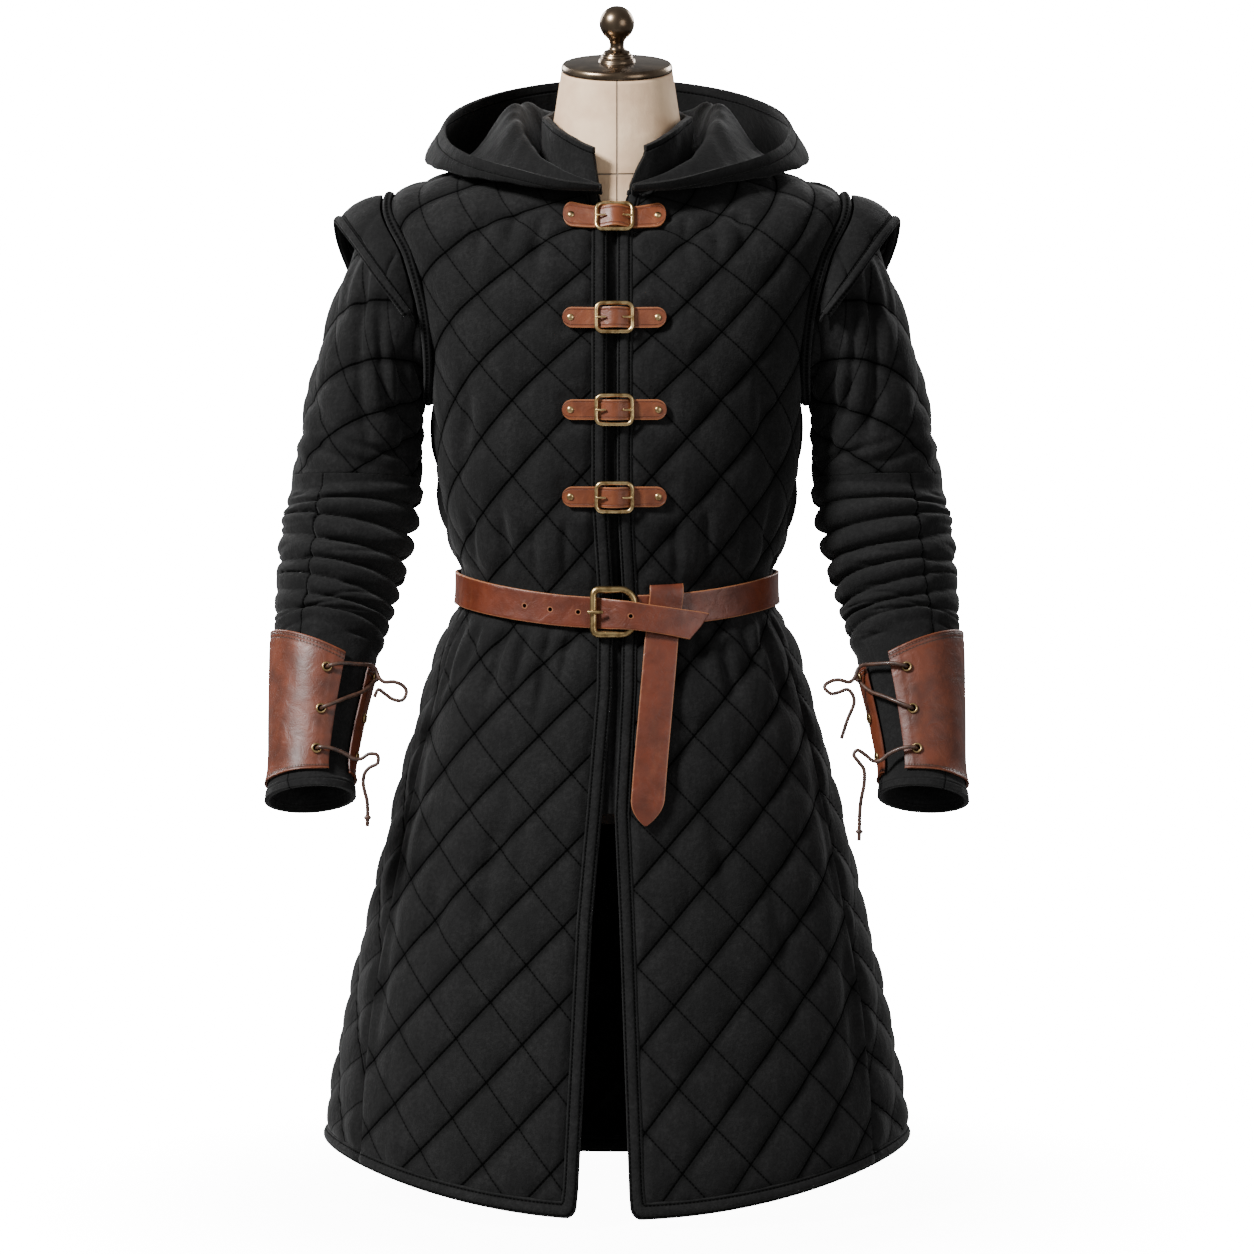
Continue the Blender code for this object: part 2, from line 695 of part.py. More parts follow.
def pressed_places():
    """Where the belt, the closures and the hood lie on the cloth."""
    places = [((0, up_at_row(BELT_ROW)), (2.0, BELT_HALF_WIDTH + 0.004), 0.0008)]
    places.append(((0, up_at_row(TOP_ROW)), (2.0, up_at_row(TOP_ROW) - up_at_row(14.9)), 0.0015))
    for height, _ in CLOSURES:
        up = up_at_row(row_at_height(height))
        places.append(((0, up), (TAB_END + 0.004, TAB_HALF_HEIGHT + 0.004), 0.0006))
    return places


def front_outline(side):
    hem, top = EDGE, up_at_row(TOP_ROW)
    half = SEAM_GAP / 2
    points = [(opening_edge(side, row_at_up(up)) + EDGE, up) for up in spaced(hem, top, 0.050)]
    quarter = round_at_angle(math.pi / 2, TOP_ROW) - half
    points += [(length, top) for length in spaced(points[-1][0], quarter, 0.025)[1:]]
    for row in (15.5, 15.0, 14.5):
        points.append((round_at_angle(math.pi / 2, row) - half, up_at_row(row)))
    for turn in range(0, 180, 15):
        angle, row = armhole_place(math.radians(turn))
        points.append((round_at_angle(angle, row) - half, up_at_row(row)))
    for up in spaced(up_at_row(ARMHOLE_LOW), hem, 0.045):
        points.append((side_seam_length(row_at_up(up)) - half, up))
    last = points[-1][0]
    points += [(length, hem) for length in spaced(last, points[0][0], 0.035)[1:-1]]
    return points


def make_fronts():
    pressed = pressed_places()
    for word, side in SIDES.items():

        def place(length, up, out, side=side):
            row = row_at_up(up)
            length = max(length, opening_edge(side, row) + EDGE)
            if row < ARMHOLE_LOW:
                length = min(length, side_seam_length(row) - SEAM_GAP / 2)
            return body_point(side * length, row, out)

        outline = front_outline(side)
        lines, bumps = quilting(outline, GRAIN_LEAN, up_at_row(BELT_ROW), pressed)
        cloth_wall("front_" + word, BLACK_CLOTH, outline, place, bumps, lines)


def half_girth(row):
    return lengths_round(row)[-1]


def make_back():
    def place(length, up, out):
        row = row_at_up(up)
        around = half_girth(row) - abs(length)
        if row < ARMHOLE_LOW:
            around = max(around, side_seam_length(row) + SEAM_GAP / 2)
        return body_point(math.copysign(around, length), row, out)

    hem, top = EDGE, up_at_row(TOP_ROW)
    half = SEAM_GAP / 2
    edge = []
    for up in spaced(hem, up_at_row(ARMHOLE_LOW), 0.045):
        row = row_at_up(up)
        edge.append((half_girth(row) - side_seam_length(row) - half, up))
    for turn in range(15, 181, 15):
        angle, row = armhole_place(math.radians(180 - turn))
        edge.append((half_girth(row) - round_at_angle(math.pi - angle, row) - half, up_at_row(row)))
    for row in (14.5, 15.0, 15.5, TOP_ROW):
        edge.append((half_girth(row) - round_at_angle(math.pi / 2, row) - half, up_at_row(row)))
    neck = [(length, top) for length in spaced(edge[-1][0], -edge[-1][0], 0.025)[1:-1]]
    mirrored = [(-length, up) for length, up in reversed(edge)]
    bottom = [(length, hem) for length in spaced(-edge[0][0], edge[0][0], 0.035)[1:-1]]
    outline = edge + neck + mirrored + bottom
    pressed = [
        ((0, up_at_row(BELT_ROW)), (2.0, BELT_HALF_WIDTH + 0.004), 0.0008),
        ((0, up_at_row(14.6)), (0.19, up_at_row(14.6) - up_at_row(11.8)), 0.0030),
        ((0, top), (2.0, top - up_at_row(14.9)), 0.0015),
    ]
    lines, bumps = quilting(outline, 0.0, 0.0, pressed)
    cloth_wall("back", BLACK_CLOTH, outline, place, bumps, lines)


# share of the binding's width from its outer edge, and how far out each point of its section is
BINDING_SECTION = ((0.0, -0.0015), (0.10, 0.0024), (0.50, 0.0036), (0.92, 0.0024), (1.0, -0.0040), (0.06, -0.0044))


def binding(name, stations, place):
    """A rolled strip of cloth. Each station is a place on its outer edge and one on its inner edge."""
    rings = []
    for outer, inner in stations:
        ring = []
        for share, out in BINDING_SECTION:
            spot = [outer[k] + (inner[k] - outer[k]) * share for k in (0, 1)]
            ring.append(place(*spot, out))
        rings.append(ring)
    capped_loft(name, BLACK_CLOTH, rings, 50)


def make_bindings():
    width = BINDING_WIDTH
    for word, side in SIDES.items():

        def place(length, up, out, side=side):
            return body_point(side * length, row_at_up(up), out)

        stations = []
        for up in spaced(up_at_row(TOP_ROW) - 0.0002, 0.050, 0.052):
            edge = opening_edge(side, row_at_up(up))
            stations.append(((edge, up), (edge + width, up)))
        edge = opening_edge(side, row_at_up(width))
        corner = (edge + width, width)
        stations.append(((edge, 0.020), (edge + width, 0.022)))
        stations.append(((edge + 0.0015, 0.006), corner))
        stations.append(((edge + 0.006, 0.0012), (corner[0] + 0.0008, width)))
        starts = edge + width + 0.008, edge + width + 0.008
        seams = [side_seam_length(row_at_up(up)) - SEAM_GAP for up in (0.0, width)]
        for share in np.linspace(0, 1, 8):
            lengths = [low + (high - low) * share for low, high in zip(starts, seams)]
            stations.append(((lengths[0], 0.0), (lengths[1], width)))
        binding("binding_" + word, stations, place)

    def place_back(length, up, out):
        row = row_at_up(up)
        return body_point(math.copysign(half_girth(row) - abs(length), length), row, out)

    reach = [half_girth(row) - side_seam_length(row) - SEAM_GAP for row in (0.0, row_at_up(width))]
    stations = [((t * reach[0], 0.0), (t * reach[1], width)) for t in np.linspace(-1, 1, 17)]
    binding("binding_back", stations, place_back)

    rows = [row_at_height(height) for height in spaced(PLACKET_BOTTOM, PLACKET_TOP, 0.048)]
    outer, inner = [], []
    for row in rows:
        lengths = np.linspace(-PLACKET_HALF_WIDTH, PLACKET_HALF_WIDTH, 3)
        out = -WALL - 0.0020
        outer.append([body_point(length - 0.004, row, out) for length in lengths])
        inner.append([body_point(length - 0.004, row, out - PLACKET_THICKNESS) for length in lengths])
    grid_solid("placket", BLACK_CLOTH, outer, inner)


# ---------------------------------------------------------------------------------------------------------------
# Collar and hood

# height of the collar's top at the front, side and back, half width, depth to the front and back
COLLAR_TOP = (1.122, 1.160, 1.184, 0.0800, 0.096, 0.078)
COLLAR_THICKNESS = 0.006
COLLAR_TIP = (0.0285, 0.0030)  # half the opening at its top, and its middle
COLLAR_LEVELS = (0.0, 0.25, 0.5, 0.80, 0.94, 1.0)
COLLAR_OPENING = (0.0, 0.20, 0.50, 0.93, 1.0, 1.0)  # share of the way to COLLAR_TIP at each level

# angle from the front, then distance from the neck's axis and height of the fold by the collar, the lowest part,
# the outermost part and the edge of the hood
HOOD = (
    (9, 0.1035, 1.0880, 0.1090, 1.0850, 0.1145, 1.0838, 0.1205, 1.0885),
    (26, 0.1060, 1.0980, 0.1150, 1.0890, 0.1250, 1.0845, 0.1320, 1.0930),
    (45, 0.1070, 1.1140, 0.1260, 1.0970, 0.1420, 1.0900, 0.1460, 1.1040),
    (66, 0.1070, 1.1370, 0.1420, 1.1100, 0.1700, 1.0990, 0.1670, 1.1180),
    (85, 0.1070, 1.1580, 0.1560, 1.1160, 0.1960, 1.1090, 0.1790, 1.1340),
    (103, 0.1090, 1.1720, 0.1640, 1.1160, 0.2060, 1.1180, 0.1860, 1.1560),
    (122, 0.1090, 1.1740, 0.1660, 1.1050, 0.2080, 1.1140, 0.1880, 1.1750),
    (141, 0.1060, 1.1640, 0.1820, 1.0440, 0.2080, 1.0850, 0.1850, 1.1910),
    (160, 0.1000, 1.1540, 0.1620, 0.9800, 0.2060, 1.0350, 0.1790, 1.2010),
    (180, 0.0980, 1.1500, 0.1560, 0.9500, 0.2040, 1.0100, 0.1750, 1.2040),
)
HOOD_THICKNESS = 0.0032
HOOD_SEAM_GAP = 0.0004
HOOD_COLUMNS = 14
HOOD_STATIONS = (2, 3, 4, 3)  # between the neck, the fold, the lowest part, the outermost part and the edge


def make_collar():
    front_z, side_z, back_z, half_width, front, back = COLLAR_TOP
    outer, inner = [], []
    columns = 17
    tip_half, tip_middle = COLLAR_TIP
    _, seam_middle, seam_half = OPENING[-1]
    for level, opened in zip(COLLAR_LEVELS, COLLAR_OPENING):
        half = seam_half + (tip_half - seam_half) * opened
        middle = seam_middle + (tip_middle - seam_middle) * opened
        rows = []
        for thickness in (0.0, COLLAR_THICKNESS):
            start = math.asin((half + middle) / half_width)
            end = 2 * math.pi - math.asin((half - middle) / half_width)
            ring = []
            for angle in np.linspace(start, end, columns):
                sine, cosine = math.sin(angle), math.cos(angle)
                foot = section(TOP_ROW, angle)
                peak = np.array(
                    (
                        half_width * sine,
                        (-front if cosine > 0 else back) * abs(cosine),
                        side_z + ((front_z if cosine > 0 else back_z) - side_z) * cosine**2,
                    )
                )
                foot = foot + (0, 0, SEAM_GAP * 1.5)
                spot = foot + (peak - foot) * level
                inwards = unit(np.array((sine / half_width, -cosine / front, 0.0)))
                round_off = 0.0012 if level in (0.0, 1.0) else 0.0
                shift = -(thickness - round_off) if thickness else -round_off
                ring.append(spot + inwards * shift)
            rows.append(ring)
        outer.append(rows[0])
        inner.append(rows[1])
    grid_solid("collar", BLACK_CLOTH, outer, inner)


HOOD_ANGLES = np.array([row[0] for row in HOOD], float)
HOOD_SIZES = np.array([row[1:] for row in HOOD])


def hood_section(angle):
    """The hood at one angle in degrees, from the neck to its edge: points of its outer and inner faces."""
    sizes = smooth(HOOD_ANGLES, HOOD_SIZES, angle)
    turn = math.radians(angle)
    neck = section(TOP_ROW, turn)
    start = (math.hypot(neck[0], neck[1]) + 0.0038, neck[2] + 0.0032)
    knots = np.array([start] + [sizes[k : k + 2] for k in (0, 2, 4, 6)])
    along = np.concatenate([[0], np.cumsum(np.linalg.norm(np.diff(knots, axis=0), axis=1))])
    places = [0.0]
    for before, after, count in zip(along, along[1:], HOOD_STATIONS):
        places += list(np.linspace(before, after, count + 1)[1:])
    spots = np.array([smooth(along, knots, place) for place in places])
    chords = [unit(after - before) for before, after in zip(spots, spots[1:])]
    outer, inner = [], []
    for spot, before, after in zip(spots, chords[:1] + chords, chords + chords[-1:]):
        ahead = unit(before + after)
        outwards = np.array((ahead[1], -ahead[0])) / max(ahead.dot(before), 0.7)
        for ring, depth in ((outer, 0.0), (inner, HOOD_THICKNESS)):
            radius, height = spot - outwards * depth
            ring.append((max(radius * math.sin(turn), HOOD_SEAM_GAP), -radius * math.cos(turn), height))
    return outer, inner


def net_point(net, u, v):
    """A point of a net of points, and the direction out of it, at two shares from 0 to 1."""
    rows, columns = net.shape[:2]
    u, v = np.clip(u, 0, 1) * (rows - 1), np.clip(v, 0, 1) * (columns - 1)
    i, j = min(int(u), rows - 2), min(int(v), columns - 2)
    a, b = u - i, v - j
    low = net[i, j] * (1 - b) + net[i, j + 1] * b
    high = net[i + 1, j] * (1 - b) + net[i + 1, j + 1] * b
    left = net[i, j] * (1 - a) + net[i + 1, j] * a
    right = net[i, j + 1] * (1 - a) + net[i + 1, j + 1] * a
    return low * (1 - a) + high * a, unit(np.cross(high - low, right - left))


def make_hood():
    sections = [hood_section(angle) for angle in np.linspace(HOOD_ANGLES[0], 180, HOOD_COLUMNS)]
    for word, side in SIDES.items():
        faces = [[[mirrored(spot, side) for spot in ring] for ring in rings] for rings in zip(*sections)]
        grid_solid("hood_" + word, BLACK_CLOTH, *faces)


# ---------------------------------------------------------------------------------------------------------------
# Sleeves, wings and pipings

ARM_ANGLES = np.linspace(-180, 180, 73)  # degrees: 0 is the outside of the arm and 90 its front
SEAM_ROW = 4.8
SLEEVE_SIDES = 12


def arm_ring_at(knot):
    """One section of the left arm from its table."""
    if knot == 0:
        ring = [armhole_point(math.radians(turn)) for turn in ARM_ANGLES]
        middle = np.mean(ring, axis=0)
        return [p + (SLEEVE_OUT, 0, 0) + unit(middle - p) * SLEEVE_IN for p in ring]
    _, x, y, z, half_width, half_depth, roll, pitch = ARM[knot - 1]
    roll, pitch = math.radians(roll), math.radians(pitch)
    across = np.array((math.cos(roll), 0, math.sin(roll)))
    forwards = np.array((0, -math.cos(pitch), math.sin(pitch)))
    angles = np.radians(ARM_ANGLES)[:, None]
    return np.array((x, y, z)) + across * np.cos(angles) * half_width + forwards * np.sin(angles) * half_depth


ARM_NET = np.array([arm_ring_at(knot) for knot in range(len(ARM) + 1)])
ARM_KNOTS = np.arange(len(ARM) + 1)


def arm_ring(row):
    return smooth(ARM_KNOTS, ARM_NET, row)


def arm_point(row, angle, out=0.0):
    """A point of the left arm: its row, degrees from the outside towards the front, and how far out it is."""
    angle = (angle + 180) % 360 - 180

    def at(row, angle):
        ring = arm_ring(row)
        return np.array([np.interp(angle, ARM_ANGLES, ring[:, k], period=360) for k in range(3)])

    spot = at(row, angle)
    if out == 0:
        return spot
    around = at(row, angle + 4) - at(row, angle - 4)
    down = at(min(row + 0.06, len(ARM)), angle) - at(max(row - 0.06, 0), angle)
    return spot + out * unit(np.cross(around, down))


def arm_girth(row):
    ring = arm_ring(row)
    return np.concatenate([[0], np.cumsum(np.linalg.norm(np.diff(ring, axis=0), axis=1))])


ARM_FINE = np.linspace(0, len(ARM), 6 * len(ARM) + 1)
ARM_LENGTHS = np.concatenate(
    [[0], np.cumsum([np.linalg.norm(arm_point(b, 40) - arm_point(a, 40)) for a, b in zip(ARM_FINE, ARM_FINE[1:])])]
)


def mirrored(point, side):
    return np.asarray(point) * (side, 1, 1)


def make_sleeves():
    long = float(np.interp(SEAM_ROW, ARM_FINE, ARM_LENGTHS))

    def row_of(length):
        return float(np.interp(length, ARM_LENGTHS, ARM_FINE))

    half = SEAM_GAP / 2
    downs = spaced(0.0, long, 0.036)
    edge = [(arm_girth(row_of(down))[-1] / 2 - half, -down) for down in downs]
    bottom = [(around, -long) for around in spaced(edge[-1][0], -edge[-1][0], 0.030)[1:-1]]
    top = [(around, 0.0) for around in spaced(-edge[0][0], edge[0][0], 0.030)[1:-1]]
    outline = edge + bottom + [(-a, b) for a, b in reversed(edge)] + top
    lines, bumps = quilting(outline)
    for word, side in SIDES.items():

        def place(around, up, out, side=side):
            row = row_of(-up)
            girth = arm_girth(row)
            limit = girth[-1] / 2 - half
            angle = np.interp(np.clip(around, -limit, limit) + girth[-1] / 2, girth, ARM_ANGLES)
            return mirrored(arm_point(row, float(angle), out), side)

        cloth_wall(
            "sleeve_upper_" + word, BLACK_CLOTH, outline, place, bumps, lines, WALL, 0.0, None
        )
        make_lower_sleeve(word, side)


def make_lower_sleeve(word, side):
    """The forearm, pushed up in folds that are deepest on its inside and front."""
    angles = np.linspace(-180, 180, SLEEVE_SIDES + 1)[:-1]
    start = SEAM_ROW + 0.01

    def share(angle):
        return (1 - math.cos(math.radians(angle))) / 2

    def depth_at(angle):
        return 0.35 + 0.65 * max(share(angle), math.sin(math.radians(angle)) * 0.75)

    lines = [(start, start, 0.0)]
    for k, (inside_row, outside_row, depth) in enumerate(FOLDS):
        lines.append((inside_row, outside_row, depth))
        if k + 1 < len(FOLDS):
            after = FOLDS[k + 1]
            lines.append(((inside_row + after[0]) / 2, (outside_row + after[1]) / 2, -depth * 0.5))
    lines += [(8.25, 7.50, 0.0), (9.0, 9.0, 0.0), (10.0, 10.0, 0.0), (10.8, 10.8, 0.0), (11.2, 11.2, 0.0015)]
    lines += [(11.7, 11.7, 0.0015), (12.0, 12.0, 0.0)]
    outer = []
    for inside_row, outside_row, depth in lines:
        ring = []
        for angle in angles:
            row = outside_row + (inside_row - outside_row) * share(angle)
            ring.append(mirrored(arm_point(row, angle, depth * depth_at(angle)), side))
        outer.append(ring)
    inner = []
    plain = (start, 5.6, 6.3, 7.0, 7.7, 8.4, 9.3, 10.2, 12.0)
    for row in plain:
        inner.append([mirrored(arm_point(row, angle, -WALL - 0.0035), side) for angle in angles])
    tube_of_cloth("sleeve_lower_" + word, outer, inner)


def tube_of_cloth(name, outer, inner):
    """A tube whose outer and inner faces have rings of their own, joined at its two ends."""
    count = len(outer[0])
    points = [p for ring in outer for p in ring] + [p for ring in inner for p in ring]
    first = len(outer) * count
    faces = []
    for rings, start in ((outer, 0), (inner, first)):
        for i in range(len(rings) - 1):
            for j in range(count):
                a, b = start + i * count + j, start + i * count + (j + 1) % count
                face = (a, b, b + count, a + count)
                faces.append(face if start == 0 else face[::-1])
    for j in range(count):
        k = (j + 1) % count
        faces.append((k, j, first + j, first + k))
        a, b = (len(outer) - 1) * count, first + (len(inner) - 1) * count
        faces.append((a + j, a + k, b + k, b + j))
    return add_solid(name, BLACK_CLOTH, points, faces, 45)


# turn round the armhole from its top towards the front, and where the wing's free edge is there
WING = (
    (-118, 0.2130, 0.0920, 0.9160),
    (-100, 0.2420, 0.0980, 0.9380),
    (-75, 0.2760, 0.0920, 0.9740),
    (-45, 0.2960, 0.0640, 1.0180),
    (-20, 0.2990, 0.0300, 1.0480),
    (0, 0.2930, -0.0050, 1.0560),
    (20, 0.2820, -0.0360, 1.0440),
    (45, 0.2600, -0.0660, 1.0160),
    (75, 0.2350, -0.0850, 0.9800),
    (98, 0.2130, -0.0830, 0.9480),
)
WING_THICKNESS = 0.0044
PIPING_RADIUS = 0.0048
WING_PIPING_RADIUS = 0.0045


def wing_net():
    turns = np.linspace(WING[0][0], WING[-1][0], 49)
    rows = []
    for turn in turns:
        angle = math.radians(turn)
        foot = armhole_point(angle, 0.0075) + (0.0066, 0, 0)
        edge = smooth([row[0] for row in WING], [row[1:] for row in WING], turn)
        middle = (foot + edge) / 2
        width = np.linalg.norm(edge - foot)
        lift = unit(armhole_point(angle, 0.01) - armhole_point(angle)) * width * 0.10
        rows.append([foot + (edge - foot) * t + lift * 4 * t * (1 - t) for t in np.linspace(0, 1, 9)])
    return np.array(rows)


def make_wings():
    net = wing_net()
    around = np.concatenate([[0], np.cumsum(np.linalg.norm(np.diff(net[:, 4], axis=0), axis=1))])
    widths = np.linalg.norm(np.diff(net, axis=1), axis=2).sum(axis=1)
    long = around[-1]

    def wide(length):
        return float(np.interp(length, around, widths))

    lengths = spaced(0.0, long, 0.032)
    outline = [(length, 0.0) for length in lengths]
    outline += [(long, wide(long) * 0.5)]
    outline += [(length, wide(length)) for length in lengths[::-1]]
    outline += [(0.0, wide(0.0) * 0.5)]
    lines, bumps = quilting(outline, puff=0.0035)
    for word, side in SIDES.items():

        def place(length, across, out, side=side):
            share = np.interp(length, around, np.linspace(0, 1, len(around)))
            spot, normal = net_point(net, share, across / wide(length))
            return mirrored(spot + normal * out, side)

        cloth_wall(
            "wing_" + word, BLACK_CLOTH, outline, place, bumps, lines,
            WING_THICKNESS, WING_THICKNESS / 2, None,
        )
        route = [mirrored(armhole_point(math.radians(turn), 0.0065), side) for turn in range(0, 360, 18)]
        tube("armhole_piping_" + word, BLACK_CLOTH, route, PIPING_RADIUS, 1, True)
        edge = []
        for k in range(1, len(net) - 1, 3):
            along = unit(net[k + 1, -1] - net[k - 1, -1])
            outwards = net[k, -1] - net[k, -2]
            outwards = unit(outwards - along * outwards.dot(along))
            edge.append(mirrored(net[k, -1] + outwards * (WING_PIPING_RADIUS + 0.0014), side))
        tube("wing_piping_" + word, BLACK_CLOTH, edge, WING_PIPING_RADIUS, 1)


# ---------------------------------------------------------------------------------------------------------------
# Bracers and their laces

BRACER_EDGES = (116, 149)  # degrees from the outside of the arm: the laced edge and the far edge
BRACER_STAND_OFF = 0.0016
BRACER_THICKNESS = 0.0030
BRACER_TOP = (7.98, -0.42, 0.15)  # row at the back and front, then what the outside and the front add
BRACER_BOTTOM = 10.66
EYELET_ROWS = (8.53, 9.17, 9.87)
EYELET_ANGLES = (98, 167)
EYELET_RING, EYELET_WIRE = 0.0044, 0.0011
EYELET_HOLE = 0.0033
LACE_RADIUS = 0.0016


def make_bracers():
    first, last = BRACER_EDGES
    angles = np.linspace(last - 360, first, 17)
    middle, outside, front = BRACER_TOP
    for word, side in SIDES.items():
        outer, inner = [], []
        for level in (0.0, 0.28, 0.64, 1.0):
            lists = [], []
            for angle in angles:
                turn = math.radians(angle)
                top = middle + outside * math.cos(turn) + front * math.sin(turn)
                row = top + (BRACER_BOTTOM - top) * level
                for ring, out in zip(lists, (BRACER_THICKNESS, 0.0)):
                    ring.append(mirrored(arm_point(row, angle, BRACER_STAND_OFF + out), side))
            outer.append(lists[0])
            inner.append(lists[1])
        bracer = grid_solid("bracer_" + word, BROWN_LEATHER, outer, inner)
        for edge, angle in zip(("front", "far"), EYELET_ANGLES):
            for number, row in enumerate(EYELET_ROWS, 1):
                spot = arm_point(row, angle, BRACER_STAND_OFF + BRACER_THICKNESS)
                out = arm_point(row, angle, 0.02) - arm_point(row, angle)
                spot, out = mirrored(spot, side), unit(mirrored(out, side))
                turn = turned_to(out)
                hole = primitive(
                    "hole", BROWN_LEATHER, bpy.ops.mesh.primitive_cylinder_add, turn, spot,
                    vertices=6, radius=EYELET_HOLE, depth=0.010,
                )
                combine(bracer, hole, "DIFFERENCE")
                primitive(
                    f"eyelet_{word}_{edge}_{number}", OLD_BRASS, bpy.ops.mesh.primitive_torus_add, turn,
                    spot + out * (EYELET_WIRE + 0.0008),
                    major_segments=9, minor_segments=3, major_radius=EYELET_RING, minor_radius=EYELET_WIRE,
                )


LACE_OUT = BRACER_STAND_OFF + BRACER_THICKNESS + 2 * EYELET_WIRE + LACE_RADIUS + 0.0014

# Routes of the laces: points on the arm are row, degrees and height above the sleeve; free points are x, y, z with
# x counted outwards from the middle of the body.
LACES = {
    ("left", "upper"): (
        ("arm", 8.53, 98, 0.0028),
        ("arm", 8.53, 98.6, 0.0088),
        ("arm", 8.50, 107, LACE_OUT + 0.001),
        ("arm", 8.47, 128, LACE_OUT + 0.001),
        ("arm", 8.45, 150, LACE_OUT + 0.003),
        ("free", 0.2480, -0.0960, 0.5640),
        ("free", 0.2300, -0.0960, 0.5660),
        ("free", 0.2190, -0.0985, 0.5590),
        ("free", 0.2270, -0.1000, 0.5510),
        ("free", 0.2440, -0.0985, 0.5560),
        ("free", 0.2500, -0.1000, 0.5480),
        ("free", 0.2430, -0.1010, 0.5230),
        ("free", 0.2370, -0.1010, 0.5040),
    ),
    ("left", "middle"): (
        ("arm", 9.17, 98, 0.0028),
        ("arm", 9.17, 98.6, 0.0088),
        ("arm", 9.12, 107, LACE_OUT + 0.001),
        ("arm", 8.98, 124, LACE_OUT),
        ("arm", 8.80, 146, LACE_OUT),
        ("arm", 8.62, 158, LACE_OUT + 0.001),
        ("arm", 8.535, 166.4, 0.0088),
        ("arm", 8.53, 167, 0.0028),
    ),
    ("left", "lower"): (
        ("arm", 9.87, 98, 0.0028),
        ("arm", 9.87, 98.6, 0.0088),
        ("arm", 9.87, 107, LACE_OUT + 0.001),
        ("arm", 9.95, 126, LACE_OUT + 0.003),
        ("free", 0.2720, -0.1370, 0.4830),
        ("free", 0.2570, -0.1380, 0.4930),
        ("free", 0.2500, -0.1390, 0.4960),
        ("free", 0.2490, -0.1400, 0.4880),
        ("free", 0.2580, -0.1400, 0.4790),
        ("free", 0.2600, -0.1400, 0.4650),
        ("free", 0.2560, -0.1390, 0.4400),
        ("free", 0.2545, -0.1390, 0.4000),
    ),
    ("right", "upper"): (
        ("arm", 8.53, 98, 0.0028),
        ("arm", 8.53, 98.6, 0.0088),
        ("arm", 8.50, 107, LACE_OUT + 0.001),
        ("arm", 8.47, 128, LACE_OUT + 0.001),
        ("arm", 8.45, 150, LACE_OUT + 0.003),
        ("free", 0.2480, -0.0960, 0.5640),
        ("free", 0.2360, -0.0960, 0.5640),
        ("free", 0.2220, -0.0985, 0.5550),
        ("free", 0.2260, -0.1000, 0.5450),
        ("free", 0.2380, -0.1000, 0.5460),
        ("free", 0.2520, -0.1000, 0.5560),
        ("free", 0.2560, -0.1000, 0.5480),
    ),
    ("right", "middle"): (
        ("arm", 9.17, 98, 0.0028),
        ("arm", 9.17, 98.6, 0.0088),
        ("arm", 9.12, 107, LACE_OUT + 0.001),
        ("arm", 8.98, 124, LACE_OUT),
        ("arm", 8.80, 146, LACE_OUT),
        ("arm", 8.62, 158, LACE_OUT + 0.001),
        ("arm", 8.535, 166.4, 0.0088),
        ("arm", 8.53, 167, 0.0028),
    ),
    ("right", "lower"): (
        ("arm", 9.87, 98, 0.0028),
        ("arm", 9.87, 98.6, 0.0088),
        ("arm", 9.87, 107, LACE_OUT + 0.001),
        ("arm", 9.95, 126, LACE_OUT + 0.003),
        ("free", 0.2720, -0.1370, 0.4850),
        ("free", 0.2560, -0.1380, 0.4920),
        ("free", 0.2500, -0.1390, 0.4890),
        ("free", 0.2520, -0.1400, 0.4800),
        ("free", 0.2620, -0.1400, 0.4760),
        ("free", 0.2660, -0.1400, 0.4640),
        ("free", 0.2620, -0.1390, 0.4400),
        ("free", 0.2620, -0.1390, 0.4150),
    ),
}


def make_laces():
    for (word, which), route in LACES.items():
        knots = []
        for kind, *place in route:
            knots.append(arm_point(*place) if kind == "arm" else np.array(place))
        spots = [mirrored(spot, SIDES[word]) for spot in through(knots, 0.0094)]
        tube(f"lace_{word}_{which}", LACE_LEATHER, spots, LACE_RADIUS, 2)


# ---------------------------------------------------------------------------------------------------------------
# Closures and belt

BUCKLE_HALF_WIDTH, BUCKLE_HALF_HEIGHT = 0.0188, 0.0150  # of the wire's middle
BUCKLE_WIRE = 0.0022
BUCKLE_CORNER = 0.0065
RIVET_IN = 0.0085  # from the end of a tab

# length from the buckle's middle and how far out a tab's underside is, past its closure's own
TAB_RISE = (
    (-0.0540, 0.0000),
    (-0.0240, 0.0000),
    (-0.0165, 0.0002),
    (-0.0115, 0.0030),
    (-0.0060, 0.0062),
    (0.0000, 0.0072),
    (0.0060, 0.0062),
    (0.0115, 0.0030),
    (0.0165, 0.0002),
    (0.0240, 0.0000),
    (0.0540, 0.0000),
)


def rounded_loop(half_width, half_height, corner, per_corner):
    """A loop of flat points with rounded corners."""
    points = []
    for quarter in range(4):
        sign_x = 1 if quarter in (0, 3) else -1
        sign_y = 1 if quarter in (0, 1) else -1
        for k in range(per_corner):
            angle = math.radians(90 * quarter + 90 * k / (per_corner - 1))
            points.append(
                (
                    sign_x * (half_width - corner) + corner * math.cos(angle),
                    sign_y * (half_height - corner) + corner * math.sin(angle),
                )
            )
    return points


def tab_lengths(start, end):
    """Where a tab bends, and its ends."""
    return [start] + [row[0] for row in TAB_RISE if start + 0.002 < row[0] < end - 0.002] + [end]


